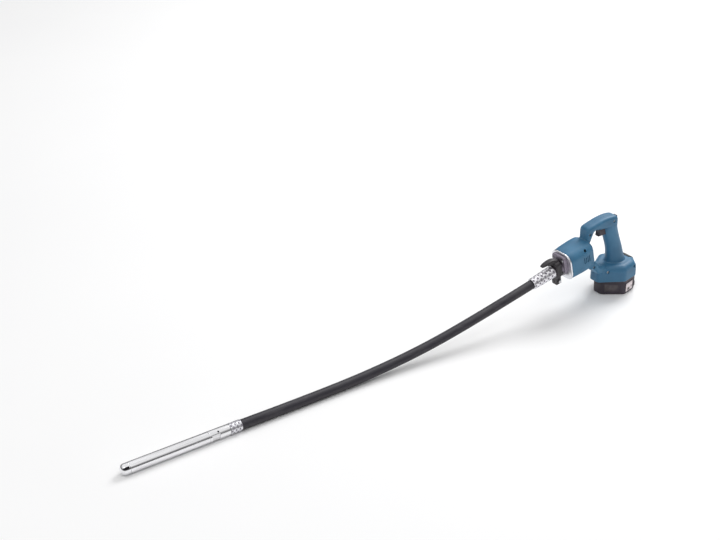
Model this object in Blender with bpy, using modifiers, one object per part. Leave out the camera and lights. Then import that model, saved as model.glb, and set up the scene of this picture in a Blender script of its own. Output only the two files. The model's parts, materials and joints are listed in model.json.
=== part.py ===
"""A cordless concrete vibrator: a D-handled power unit that stands on its battery, a flexible drive
hose, and a steel poker head that lies on the ground.

The frame has its origin at the middle of the battery's underside, +Z up. The hose and the head run
towards -X, and the handle is at the +X end. Lengths in this script are millimetres until a mesh or
a location is written, where they are multiplied by MM.
"""

from math import cos, pi, radians, sin, tan

import bmesh
import bpy
from mathutils import Matrix, Vector

MM = 0.001
GAP = 0.3  # clearance between neighbouring pieces
WALL = 3.0  # thickness of the moulded casing

# Poker head, measured along its own axis from the tip
HEAD_RADIUS = 12.5
HEAD_TIP_X = -1338.0
NOSE_LENGTH = 18.0
TUBE_END = 201.0
NECK_END = 251.0
FRONT_FERRULE_END = 279.0
TUBE_BORE = 10.0
ROTOR_SHAFT = 4.0
FLATS_ACROSS = 20.0
SPANNER_SLOT = 2.3
SPANNER_HOLE = 1.9
FLAT_START = 206.0
FLAT_END = 225.0

# Hose and the flexible core inside it
HOSE_RADIUS = 11.0
HOSE_WALL = 4.0
CORE_RADIUS = 4.0
HOSE_POINTS = 36

# Drive line of the power unit: distances s run rearwards from the flange ring's rear face
FLANGE_X = -164.0
FLANGE_Z = 111.7
TILT = radians(12.5)
REAR_FERRULE_FRONT = -100.0
REAR_FERRULE_REAR = -35.0
FLANGE_THICKNESS = 4.0
NECK_RADIUS = 12.0
BOX_FRONT = -13.0
BARREL_RISE = 2.0  # the barrel's centre stands this far above the drive line
BARREL_END = 74.0
SPINDLE = 5.0
MOTOR_FRONT = 12.0
MOTOR_REAR = 60.0
MOTOR_RADIUS = 22.5
MOTOR_SHAFT = 4.0

# Battery and the casing's foot
BATTERY_HEIGHT = 36.0
FOOT_HEIGHT = 76.0
STEM_TOP = 86.0
BATTERY_CORNERS = ((-47, 13), (1, 47.5), (45, 36.5), (56, 14))
FOOT_CORNERS = ((-60, 13.5), (-2, 49), (43.5, 38.3), (58.5, 15))
PLAN_RADII = (12, 11, 10, 10)
PLAN_MIDDLE = Vector((1, 0))
CELL_RADIUS = 8.4
BUTTON_X = 37.5
LABEL_X = 18.0

# Handle
WINDOW_TOP = 176.0
TRIGGER_HEIGHT = 165.5
LOCK_BUTTON_X = -44.0
LOCK_BUTTON_Z = 188.3


def clear_scene():
    for thing in list(bpy.data.objects):
        bpy.data.objects.remove(thing, do_unlink=True)


def new_collection(name):
    collection = bpy.data.collections.new(name)
    bpy.context.scene.collection.children.link(collection)
    return collection


def new_material(name, colour, roughness, metallic=0.0):
    material = bpy.data.materials.new(name)
    material.use_nodes = True
    shader = material.node_tree.nodes["Principled BSDF"]
    shader.inputs["Base Color"].default_value = (*colour, 1.0)
    shader.inputs["Roughness"].default_value = roughness
    shader.inputs["Metallic"].default_value = metallic
    return material


clear_scene()
PARTS = new_collection("concrete_vibrator")
CUTTERS = new_collection("cutters")

POLISHED_STEEL = new_material("polished_steel", (0.72, 0.74, 0.78), 0.16, 1.0)
BRUSHED_STEEL = new_material("brushed_steel", (0.55, 0.56, 0.58), 0.35, 1.0)
BRIGHT_ALUMINIUM = new_material("bright_aluminium", (0.78, 0.79, 0.82), 0.3, 1.0)
CAST_METAL = new_material("cast_metal", (0.3, 0.29, 0.31), 0.45, 1.0)
BLACK_RUBBER = new_material("black_rubber", (0.03, 0.03, 0.036), 0.6)
BLACK_PAINT = new_material("black_paint", (0.02, 0.02, 0.022), 0.45)
TEAL_PLASTIC = new_material("teal_plastic", (0.03, 0.16, 0.24), 0.42)
DARK_PLASTIC = new_material("dark_plastic", (0.035, 0.028, 0.03), 0.5)
LABEL_FILM = new_material("label_film", (0.75, 0.62, 0.64), 0.4)
COPPER = new_material("copper", (0.72, 0.35, 0.2), 0.35, 1.0)
CARBON = new_material("carbon", (0.05, 0.05, 0.05), 0.7)
FERRITE = new_material("ferrite", (0.09, 0.09, 0.1), 0.6)
CELL_SLEEVE = new_material("cell_sleeve", (0.12, 0.3, 0.16), 0.4)


# ---- placing ----


def new_frame(name, location, turn):
    """An empty that holds a line of pieces. Its own +Z is the line's axis."""
    frame = bpy.data.objects.new(name, None)
    frame.location = Vector(location) * MM
    frame.rotation_euler = (0.0, turn, 0.0)
    PARTS.objects.link(frame)
    bpy.context.view_layer.update()
    return frame


def place(name, mesh, material, frame=None, location=(0, 0, 0), collection=None):
    thing = bpy.data.objects.new(name, mesh)
    if material:
        mesh.materials.append(material)
    thing.parent = frame
    thing.location = Vector(location) * MM
    (collection or PARTS).objects.link(thing)
    return thing


HEAD_LINE = new_frame("head_line", (HEAD_TIP_X, 0, HEAD_RADIUS), pi / 2)
DRIVE_LINE = new_frame("drive_line", (FLANGE_X, 0, FLANGE_Z), pi / 2 - TILT)
UPWARDS = Vector((-sin(TILT), 0, cos(TILT)))
REARWARDS = Vector((cos(TILT), 0, sin(TILT)))
SIDEWAYS = Vector((0, 1, 0))


def on_drive_line(s, up=0.0, side=0.0):
    """A point of the power unit's drive line, as world millimetres."""
    return Vector((FLANGE_X, 0, FLANGE_Z)) + REARWARDS * s + UPWARDS * up + SIDEWAYS * side


# ---- shapes ----


def finished(shape, name, smooth_angle=40):
    """A mesh from a closed bmesh, with its faces turned out and its round faces shaded smooth."""
    if shape.calc_volume(signed=True) < 0:
        bmesh.ops.reverse_faces(shape, faces=shape.faces)
    mesh = bpy.data.meshes.new(name)
    shape.to_mesh(mesh)
    shape.free()
    mesh.shade_smooth()
    mesh.set_sharp_from_angle(angle=radians(smooth_angle))
    return mesh


def turned(name, outline, material, frame, location=(0, 0, 0), steps=32, collection=None):
    """A piece turned about the frame's Z. The outline is (radius, height) down the outer side."""
    on_axis = outline[0][0] == 0
    mesh = bpy.data.meshes.new(name)
    points = [(radius * MM, 0, height * MM) for radius, height in outline]
    edges = [(i, i + 1) for i in range(len(points) - 1)]
    if not on_axis:
        edges.append((len(points) - 1, 0))
    mesh.from_pydata(points, edges, [])
    thing = place(name, mesh, material, frame, location, collection)
    screw = thing.modifiers.new("turn", "SCREW")
    screw.axis = "Z"
    screw.steps = steps
    screw.render_steps = steps
    screw.use_merge_vertices = on_axis
    screw.merge_threshold = 0.00001
    screw.use_smooth_shade = True
    return thing


def ring(name, outer, inner, low, high, material, frame, steps=28, chamfer=0.4):
    outline = [
        (inner, high),
        (outer - chamfer, high),
        (outer, high - chamfer),
        (outer, low + chamfer),
        (outer - chamfer, low),
        (inner, low),
    ]
    return turned(name, outline, material, frame, steps=steps)


def block(name, low, high, material=None, frame=None, bevel=0.0, collection=None, segments=2):
    """A box between two corners, with its edges rounded by a Bevel."""
    low, high = Vector(low), Vector(high)
    shape = bmesh.new()
    bmesh.ops.create_cube(shape, size=1.0)
    bmesh.ops.scale(shape, vec=(high - low) * MM, verts=shape.verts)
    mesh = finished(shape, name)
    thing = place(name, mesh, material, frame, (low + high) / 2, collection)
    if bevel:
        edge = thing.modifiers.new("edges", "BEVEL")
        edge.width = bevel * MM
        edge.segments = segments
    return thing


def rod(name, start, end, radius, material=None, segments=24):
    """A round bar between two points in world millimetres."""
    start, end = Vector(start), Vector(end)
    shape = bmesh.new()
    bmesh.ops.create_cone(
        shape,
        cap_ends=True,
        segments=segments,
        radius1=radius * MM,
        radius2=radius * MM,
        depth=(end - start).length * MM,
    )
    turn = (end - start).to_track_quat("Z", "Y").to_matrix().to_4x4()
    shape.transform(turn)
    return place(name, finished(shape, name), material, None, (start + end) / 2)


def rounded(corners, radii, steps=3):
    """A closed outline through the corners, each one turned into an arc of its own radius."""
    points = []
    count = len(corners)
    for i, (corner, radius) in enumerate(zip(corners, radii)):
        corner = Vector(corner)
        to_last = (Vector(corners[i - 1]) - corner).normalized()
        to_next = (Vector(corners[(i + 1) % count]) - corner).normalized()
        half = to_last.angle(to_next) / 2
        centre = corner + (to_last + to_next).normalized() * radius / sin(half)
        first = corner + to_last * radius / tan(half) - centre
        last = corner + to_next * radius / tan(half) - centre
        swing = last.angle_signed(first)
        for step in range(steps + 1):
            turn = Matrix.Rotation(swing * step / steps, 2)
            points.append(centre + turn @ first)
    return points


def mirrored(half_corners):
    """The corners of an outline that is the same on both sides of the X axis, run anticlockwise."""
    near = [(x, -y) for x, y in half_corners]
    return near + [(x, y) for x, y in reversed(half_corners)]


def rectangle(half_width, half_height, radius, steps=3):
    corners = [
        (-half_width, -half_height),
        (half_width, -half_height),
        (half_width, half_height),
        (-half_width, half_height),
    ]
    return rounded(corners, [radius] * 4, steps)


def oval(half_width, half_height, count=16):
    angles = [2 * pi * i / count for i in range(count)]
    return [Vector((half_width * cos(a), half_height * sin(a))) for a in angles]


def loft(name, rings, material=None, collection=None):
    """A closed skin through rings that all have the same number of points, in world millimetres."""
    shape = bmesh.new()
    loops = [[shape.verts.new(point * MM) for point in points] for points in rings]
    for near, far in zip(loops, loops[1:]):
        for i in range(len(near)):
            j = (i + 1) % len(near)
            shape.faces.new((near[i], near[j], far[j], far[i]))
    shape.faces.new(list(reversed(loops[0])))
    shape.faces.new(loops[-1])
    return place(name, finished(shape, name), material, collection=collection)


def section(outline, centre, across, upright):
    """Carries a flat outline into space."""
    return [centre + across * point.x + upright * point.y for point in outline]


# ---- joining and cutting ----


def cutter(thing):
    """Hides a helper, which the build then leaves out."""
    for collection in list(thing.users_collection):
        collection.objects.unlink(thing)
    CUTTERS.objects.link(thing)
    thing.hide_render = True
    thing.display_type = "WIRE"
    return thing


def boolean(thing, other, operation="DIFFERENCE"):
    cutter(other)
    step = thing.modifiers.new(operation.lower(), "BOOLEAN")
    step.operation = operation
    step.object = other
    step.solver = "EXACT"
    return thing


def baked(thing, name):
    """The evaluated mesh of an object, in world space. The object itself is removed."""
    bpy.context.view_layer.update()
    graph = bpy.context.evaluated_depsgraph_get()
    mesh = bpy.data.meshes.new_from_object(thing.evaluated_get(graph))
    mesh.transform(thing.matrix_world)
    mesh.name = name
    bpy.data.objects.remove(thing, do_unlink=True)
    return mesh


# ---- the poker head ----


def nose_profile(steps=6):
    """The bullet nose, from its shoulder down to the small flat at its tip."""
    flat = 3.0
    points = []
    for step in range(steps + 1):
        angle = pi / 2 * step / steps
        radius = flat + (HEAD_RADIUS - flat) * cos(angle)
        points.append((radius, NOSE_LENGTH * 0.62 * (1 - sin(angle))))
    return points


def spanner_slots(thing):
    """Slots on opposite sides of the nose, for the tool that screws it in."""
    middle = HEAD_LINE.matrix_world.translation / MM
    for side in (-1, 1):
        level = middle + Vector((0, 0.8, -0.6)) * (side * (HEAD_RADIUS - 0.9))
        start = level - Vector((3, 0, 0))
        end = level + Vector((NOSE_LENGTH - 4, 0, 0))
        slot = rod(f"{thing.name}_slot_{side + 1}", start, end, SPANNER_SLOT, segments=12)
        boolean(thing, slot)


def build_head():
    tip = turned(
        "head_tip",
        [(0, 31), (TUBE_BORE - GAP, 31), (TUBE_BORE - GAP, NOSE_LENGTH), (HEAD_RADIUS, NOSE_LENGTH)]
        + nose_profile()
        + [(0, 0)],
        POLISHED_STEEL,
        HEAD_LINE,
        steps=28,
    )
    spanner_slots(tip)
    ring(
        "head_tube",
        HEAD_RADIUS,
        TUBE_BORE,
        NOSE_LENGTH + GAP,
        TUBE_END,
        POLISHED_STEEL,
        HEAD_LINE,
        steps=28,
        chamfer=0.5,
    )
    connector = turned(
        "head_connector",
        [
            (CORE_RADIUS + 1, NECK_END + 18),
            (HOSE_RADIUS - HOSE_WALL - 3 * GAP, NECK_END + 18),
            (HOSE_RADIUS - HOSE_WALL - 3 * GAP, NECK_END + 5),
            (8.6, NECK_END + 5),
            (8.6, NECK_END),
            (HEAD_RADIUS - 1.2, NECK_END),
            (HEAD_RADIUS, NECK_END - 1.2),
            (HEAD_RADIUS, TUBE_END + 1),
            (HEAD_RADIUS - 0.7, TUBE_END + GAP),
            (TUBE_BORE - GAP, TUBE_END + GAP),
            (TUBE_BORE - GAP, TUBE_END - 14),
            (CORE_RADIUS + 1, TUBE_END - 14),
        ],
        POLISHED_STEEL,
        HEAD_LINE,
        steps=28,
    )
    for side in (-1, 1):
        near = FLATS_ACROSS / 2 * side
        far = 20.0 * side
        flat = block(
            f"wrench_flat_{side + 1}",
            (-20, min(near, far), FLAT_START),
            (20, max(near, far), FLAT_END),
            frame=HEAD_LINE,
            collection=CUTTERS,
        )
        boolean(connector, flat)
    beside_flat = HEAD_LINE.matrix_world.translation / MM + Vector((FLAT_END - 3, 0, 0))
    outwards = Vector((0, -0.6, 0.8))
    hole = rod(
        "spanner_hole",
        beside_flat + outwards * (HEAD_RADIUS - 4),
        beside_flat + outwards * (HEAD_RADIUS + 4),
        SPANNER_HOLE,
        segments=16,
    )
    boolean(connector, hole)
    ferrule_outline = [(HOSE_RADIUS + 0.35, FRONT_FERRULE_END)]
    ferrule_outline += crimp_rings(HEAD_RADIUS, FRONT_FERRULE_END, NECK_END + GAP, 1)
    ferrule_outline += [(8.9, NECK_END + GAP), (8.9, NECK_END + 5), (HOSE_RADIUS + 0.35, NECK_END + 5)]
    turned("front_ferrule", ferrule_outline, BRIGHT_ALUMINIUM, HEAD_LINE, steps=28)
    build_rotor()
    ring("head_bearing_front", 9.6, ROTOR_SHAFT + GAP, 35, 44, BRUSHED_STEEL, HEAD_LINE, 24)
    ring("head_bearing_rear", 9.6, ROTOR_SHAFT + GAP, 160, 169, BRUSHED_STEEL, HEAD_LINE, 24)
    ring("head_oil_seal", 9.6, ROTOR_SHAFT + GAP, 172, 178, BLACK_RUBBER, HEAD_LINE, 24)


def crimp_rings(radius, top, bottom, count, depth=0.7, edge=0.6):
    """The outer side of a ferrule, from top to bottom, with grooves rolled into it."""
    points = [(radius - edge, top), (radius, top - edge)]
    pitch = (top - bottom) / (count + 1)
    for i in range(1, count + 1):
        middle = top - pitch * i
        points += [
            (radius, middle + 1.1),
            (radius - depth, middle + 0.5),
            (radius - depth, middle - 0.5),
            (radius, middle - 1.1),
        ]
    return points + [(radius, bottom + edge), (radius - edge, bottom)]


def build_rotor():
    """The unbalanced rotor: a half-round weight on a shaft. Its heavy side hangs down at rest."""
    weight = turned(
        "eccentric_rotor",
        [(0, 152), (8.2, 152), (8.8, 151), (8.8, 53), (8.2, 52), (0, 52)],
        BRUSHED_STEEL,
        HEAD_LINE,
        steps=28,
    )
    upper_half = block(
        "rotor_relief", (-12, -12, 57), (-0.5, 12, 147), frame=HEAD_LINE, collection=CUTTERS
    )
    boolean(weight, upper_half)
    middle = HEAD_LINE.matrix_world.translation / MM
    shaft = rod(
        "rotor_shaft",
        middle + Vector((33, 0, 0)),
        middle + Vector((182, 0, 0)),
        ROTOR_SHAFT,
        segments=28,
    )
    boolean(weight, shaft, "UNION")


# ---- the hose ----

# The hose leaves the rear ferrule along the drive line, bends down and settles on the ground.
HOSE_ROUTE = [
    tuple(on_drive_line(REAR_FERRULE_FRONT + 24)),
    tuple(on_drive_line(REAR_FERRULE_FRONT)),
    (-307, 0, 80.0),
    (-380, 0, 64.5),
    (-449, 0, 50.5),
    (-520, 0, 37.5),
    (-585, 0, 28.0),
    (-650, 0, 21.0),
    (-718, 0, 16.0),
    (-780, 0, 13.2),
    (-845, 0, 12.0),
    (-905, 0, 11.6),
    (-968, 0, 11.7),
    (-1020, 0, 12.2),
    (HEAD_TIP_X + FRONT_FERRULE_END, 0, HEAD_RADIUS),
    (HEAD_TIP_X + NECK_END + 6, 0, HEAD_RADIUS),
]


def smooth_route(route, count):
    """Evenly shared points of the Catmull-Rom curve through the route's own points."""
    route = [Vector(point) for point in route]
    ends = [route[0] * 2 - route[1]] + route + [route[-1] * 2 - route[-2]]
    fine = []
    for before, start, end, after in zip(ends, ends[1:], ends[2:], ends[3:]):
        for step in range(12):
            t = step / 12
            fine.append(
                0.5
                * (
                    2 * start
                    + (end - before) * t
                    + (2 * before - 5 * start + 4 * end - after) * t * t
                    + (3 * start - before - 3 * end + after) * t * t * t
                )
            )
    fine.append(route[-1])
    lengths = [0.0]
    for last, point in zip(fine, fine[1:]):
        lengths.append(lengths[-1] + (point - last).length)
    points = []
    at = 0
    for i in range(count):
        wanted = lengths[-1] * i / (count - 1)
        while at < len(lengths) - 2 and lengths[at + 1] < wanted:
            at += 1
        part = (wanted - lengths[at]) / (lengths[at + 1] - lengths[at])
        points.append(fine[at].lerp(fine[at + 1], min(part, 1.0)))
    return points


def tube_curve(name, points, radius, resolution, caps):
    curve = bpy.data.curves.new(name, "CURVE")
    curve.dimensions = "3D"
    curve.bevel_depth = radius * MM
    curve.bevel_resolution = resolution
    curve.use_fill_caps = caps
    spline = curve.splines.new("POLY")
    spline.points.add(len(points) - 1)
    for spot, point in zip(spline.points, points):
        spot.co = (*(point * MM), 1.0)
    return curve


def build_hose():
    points = smooth_route(HOSE_ROUTE, HOSE_POINTS)
    curve = tube_curve("hose_cover", points, HOSE_RADIUS, 3, False)
    guide = place("hose_guide", curve, None)
    cover = place("hose_cover", baked(guide, "hose_cover"), BLACK_RUBBER)
    wall = cover.modifiers.new("wall", "SOLIDIFY")
    wall.thickness = HOSE_WALL * MM
    wall.offset = -1.0
    core_route = [tuple(on_drive_line(-40))] + HOSE_ROUTE[:-1]
    core_route += [(HEAD_TIP_X + NECK_END, 0, HEAD_RADIUS), (HEAD_TIP_X + 185, 0, HEAD_RADIUS)]
    core_points = smooth_route(core_route, HOSE_POINTS + 4)
    place(
        "flexible_core",
        tube_curve("flexible_core", core_points, CORE_RADIUS - 0.5, 2, True),
        BRUSHED_STEEL,
    )


# ---- the nose of the power unit ----


def build_nose():
    mouth = HOSE_RADIUS + 0.4
    inside = REAR_FERRULE_FRONT + 24.5
    ferrule = [
        (8, REAR_FERRULE_REAR),
        (14.4, REAR_FERRULE_REAR),
        (15, REAR_FERRULE_REAR - 0.6),
        (15, REAR_FERRULE_REAR - 22),
        (13.6, REAR_FERRULE_REAR - 25),
        (13.6, REAR_FERRULE_FRONT + 13),
        (13, REAR_FERRULE_FRONT + 12.4),
        (13, REAR_FERRULE_FRONT + 10.6),
        (13.6, REAR_FERRULE_FRONT + 10),
        (13.6, REAR_FERRULE_FRONT + 0.6),
        (13, REAR_FERRULE_FRONT),
        (mouth, REAR_FERRULE_FRONT),
        (mouth, inside),
        (8, inside),
    ]
    turned("rear_ferrule", ferrule, BRIGHT_ALUMINIUM, DRIVE_LINE, steps=28)
    outline = rectangle(33, 34.5, 20.5, 5)
    rings = [
        section([point * size for point in outline], on_drive_line(s, BARREL_RISE), SIDEWAYS, UPWARDS)
        for s, size in ((-FLANGE_THICKNESS, 0.98), (0.8 - FLANGE_THICKNESS, 1), (-0.8, 1), (0, 0.98))
    ]
    flange = loft("flange_ring", rings, BRIGHT_ALUMINIUM)
    boolean(flange, rod("flange_bore", on_drive_line(-9), on_drive_line(5), 22.3, segments=32))
    build_bearing_box()
    ring("spindle_bearing_front", 9.5, SPINDLE + GAP, -26, -18, BRUSHED_STEEL, DRIVE_LINE, 24)
    ring("spindle_bearing_rear", 13.5, SPINDLE + GAP, -9.8, -0.8, BRUSHED_STEEL, DRIVE_LINE, 24)
    build_hook_clamp()


def build_bearing_box():
    """The cast bearing box: square above and round below, on a spigot, bored for two bearings."""
    stations = [
        (BOX_FRONT, 19.5, 30),
        (BOX_FRONT + 2.5, 22, 32.5),
        (-FLANGE_THICKNESS - GAP, 22, 32.5),
    ]
    rings = []
    for s, half_width, top in stations:
        corners = [
            (-half_width, -half_width),
            (half_width, -half_width),
            (half_width, top),
            (-half_width, top),
        ]
        arc = half_width - 1
        outline = rounded(corners, [arc, arc, 7, 7], 4)
        rings.append(section(outline, on_drive_line(s), SIDEWAYS, UPWARDS))
    box = loft("bearing_box", rings, CAST_METAL)
    spigot = rod("box_spigot", on_drive_line(-8), on_drive_line(4), 21.9, segments=32)
    boolean(box, spigot, "UNION")
    neck = rod("box_neck", on_drive_line(REAR_FERRULE_REAR + 0.5), on_drive_line(-8), NECK_RADIUS, segments=28)
    boolean(box, neck, "UNION")
    bore = turned(
        "box_bore",
        [(0, 6), (13.8, 6), (13.8, -10.5), (9.8, -10.5), (9.8, -27), (7, -27), (7, -38), (0, -38)],
        None,
        DRIVE_LINE,
        steps=24,
        collection=CUTTERS,
    )
    boolean(box, bore)
    corners = [(-15.8, -9), (15.8, -9), (15.8, 24), (-15.8, 24)]
    for i, (side, up) in enumerate(corners):
        turned(
            f"bearing_box_screw_{i + 1}",
            socket_screw(2.8, 2.8, 1.4, 1.6),
            BRUSHED_STEEL,
            DRIVE_LINE,
            (-up, side, BOX_FRONT - GAP),
            steps=12,
        )


def socket_screw(head_radius, head_height, socket_radius, socket_depth):
    """A screw's head above the surface it clamps, seen from below: its outline down the side."""
    return [
        (0, 0),
        (head_radius, 0),
        (head_radius, 0.4 - head_height),
        (head_radius - 0.4, -head_height),
        (socket_radius, -head_height),
        (socket_radius, socket_depth - head_height),
        (0, socket_depth - head_height),
    ]


def build_hook_clamp():
    """The black clamp round the neck: a plate with a hanging finger above and a screwed ear below."""
    outline = rounded([(-15.5, -18), (15.5, -18), (15.5, 24), (-15.5, 24)], [8] * 4, 3)
    narrow = [point * 0.93 for point in outline]
    stations = [(-33, narrow), (-31.6, outline), (-18.9, outline), (-17.5, narrow)]
    rings = [section(points, on_drive_line(s), SIDEWAYS, UPWARDS) for s, points in stations]
    clamp = loft("hook_clamp", rings, BLACK_PAINT)
    finger_stations = [
        (-19, 21, 8.5, 6),
        (-30, 27, 8.5, 6),
        (-42, 30, 8, 4.6),
        (-54, 30.5, 7, 3.2),
        (-62, 29.8, 5.5, 2),
        (-65, 29.5, 4, 1.4),
    ]
    finger_rings = [
        section(rectangle(width, height, height * 0.8, 2), on_drive_line(s, up), SIDEWAYS, UPWARDS)
        for s, up, width, height in finger_stations
    ]
    boolean(clamp, loft("clamp_finger", finger_rings), "UNION")
    ear = block("clamp_ear", (13, -8.5, -32.5), (38, 8.5, -18), frame=DRIVE_LINE, bevel=2)
    boolean(clamp, ear, "UNION")
    bore = rod("clamp_bore", on_drive_line(-36), on_drive_line(-15), NECK_RADIUS + GAP, segments=28)
    boolean(clamp, bore)
    slit = block("clamp_slit", (9, -1, -36), (45, 1, -14), frame=DRIVE_LINE, collection=CUTTERS)
    boolean(clamp, slit)
    level = on_drive_line(-25.2, -29)
    hole = rod("clamp_screw_hole", level - SIDEWAYS * 12, level + SIDEWAYS * 12, 2.1, segments=16)
    boolean(clamp, hole)
    screw = rod(
        "clamp_screw", level - SIDEWAYS * 11, level + SIDEWAYS * 8, 1.8, BRUSHED_STEEL, segments=16
    )
    head = rod("clamp_screw_head", level - SIDEWAYS * 12.6, level - SIDEWAYS * 9.3, 3.6, segments=6)
    boolean(screw, head, "UNION")


# ---- the casing ----

# The barrel round the motor: distance along the drive line, half width, half height, corner radius
BARREL = [
    (GAP, 31.5, 33, 19.5),
    (5, 33.5, 33.8, 20),
    (28, 35, 34.2, 20),
    (50, 35, 34.5, 20),
    (64, 33, 33.5, 18),
    (71, 29, 30, 16),
    (BARREL_END, 24, 25.5, 14),
]
# The hollow behind the bridge's leg is moved forward, so that its steep rear wall stays thick
LEG_FRONT = -100.0
LEG_WALL = 0.7
# The bridge over the window: x, lowest z, highest z, half width
BRIDGE = [
    (-104, 150, 187, 13),
    (-101, 150, 191, 15),
    (-96, 151, 193, 15.3),
    (-91, 163, 194.4, 15.5),
    (-86, 174, 195.6, 15.5),
    (-80, 179, 196.8, 15.8),
    (-70, 179, 199, 16),
    (-60, 177, 201, 16.2),
    (-42, WINDOW_TOP, 203, 16.5),
    (-22, 172, 202.5, 16.5),
    (-11, 170, 200, 15.5),
    (-7.5, 174, 195, 13),
]
# The grip: centre x, z, half length, half width
GRIP = [
    (-26, 192, 17, 13),
    (-24.5, 181, 22.5, 16.3),
    (-20.5, 165, 22.3, 16.5),
    (-14, 145, 22, 16.5),
    (-3, 115, 22.5, 17),
    (3, 90, 25, 18.5),
    (6, 74, 28, 22),
    (7, 62, 32, 26),
]
# The web between the barrel and the foot: x, lowest z, highest z, half width
WEB = [(-112, 92, 104, 14), (-92, 85, 106, 20), (-76, 77, 100, 22), (-62, 62, 84, 22), (-40, 60, 78, 20)]
# The foot: z, and the outline's size there
FOOT = [
    (BATTERY_HEIGHT + GAP, 1.0),
    (60, 0.99),
    (67, 0.955),
    (72.5, 0.88),
    (FOOT_HEIGHT, 0.74),
]


def plan(half_corners, size, z, radii):
    """A horizontal outline, scaled about its middle."""
    corners = mirrored(half_corners)
    outline = rounded(corners, list(radii) + list(reversed(radii)), 2)
    points = [PLAN_MIDDLE + (point - PLAN_MIDDLE) * size for point in outline]
    return [Vector((point.x, point.y, z)) for point in points]


def casing_form(name, inset):
    """The casing's outer form, or, with an inset, the hollow inside its wall."""
    hollow = inset > 0
    barrel = []
    for s, half_width, half_height, corner in BARREL:
        at = min(s, BARREL_END - inset)
        if hollow and s == GAP:
            at = -5
        outline = rectangle(half_width - inset, half_height - inset, corner - inset, 3)
        barrel.append(section(outline, on_drive_line(at, BARREL_RISE), SIDEWAYS, UPWARDS))
    if hollow:
        barrel.pop(-2)
    form = loft(name, barrel)
    upright = Vector((0, 0, 1))
    for label, stations in (("bridge", BRIDGE), ("web", WEB)):
        rings = []
        for x, low, high, half_width in stations:
            half_height = (high - low) / 2 - inset
            corner = min(7.0 - inset / 2, half_height * 0.9)
            outline = rectangle(half_width - inset, half_height, corner, 3)
            at = x - inset * LEG_WALL if label == "bridge" and x > LEG_FRONT else x
            rings.append(section(outline, Vector((at, 0, (low + high) / 2)), SIDEWAYS, upright))
        if hollow:
            rings = rings[1:-1] if label == "bridge" else rings
        boolean(form, loft(f"{name}_{label}", rings), "UNION")
    grip = [
        section(oval(length - inset, width - inset), Vector((x, 0, z)), Vector((1, 0, 0)), SIDEWAYS)
        for x, z, length, width in GRIP
    ]
    boolean(form, loft(f"{name}_grip", grip), "UNION")
    foot = []
    for z, size in FOOT:
        shrink = size - inset / 49
        level = z - (inset if z > 50 else 0)
        if hollow and z < 50:
            level = 30
        foot.append(plan(FOOT_CORNERS, shrink, level, PLAN_RADII))
    boolean(form, loft(f"{name}_foot", foot), "UNION")
    return baked(form, name)


# Where the casing's screws cross it: x, z, and how far out their heads sit
CASING_SCREWS = [
    (-97, 175, 13),
    (-22, 190, 15),
    (*on_drive_line(45, 28).xz, 26),
    (*on_drive_line(24, -28).xz, 22),
    (-82, 88, 19),
    (-38, 63, 25),
    (35, 63, 35.5),
]


# The pad on the foot's rear upper edge: z, inner x, outer x
FOOT_BUMPER = [(59, 56.2, 58.4), (67, 54.4, 57.6), (72.5, 49.0, 53.4), (75, 42.5, 49.0), (77, 40.0, 44.6)]
FOOT_BUMPER_HALF_WIDTH = 13.0


def foot_bumper_form(name, grow=0.0, reach=0.0):
    """A band that follows the foot's rear edge. It can grow into the seat that is cut for it."""
    rings = []
    last = len(FOOT_BUMPER) - 1
    for i, (z, inner, outer) in enumerate(FOOT_BUMPER):
        half_length = (outer + reach - inner + grow) / 2
        outline = rectangle(half_length, FOOT_BUMPER_HALF_WIDTH + grow, 1.0, 2)
        level = z + (grow if i == last else -grow if i == 0 else 0.0)
        middle = Vector((inner - grow + half_length, 0, level))
        rings.append(section(outline, middle, Vector((1, 0, 0)), SIDEWAYS))
    return loft(name, rings)


def many_rods(name, rods, segments=16):
    """Several round bars in one mesh, for joining or cutting all at once."""
    shape = bmesh.new()
    for start, end, radius in rods:
        start, end = Vector(start), Vector(end)
        turn = (end - start).to_track_quat("Z", "Y").to_matrix().to_4x4()
        turn.translation = (start + end) / 2 * MM
        bmesh.ops.create_cone(
            shape,
            cap_ends=True,
            segments=segments,
            radius1=radius * MM,
            radius2=radius * MM,
            depth=(end - start).length * MM,
            matrix=turn,
        )
    return place(name, finished(shape, name), None)


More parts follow.
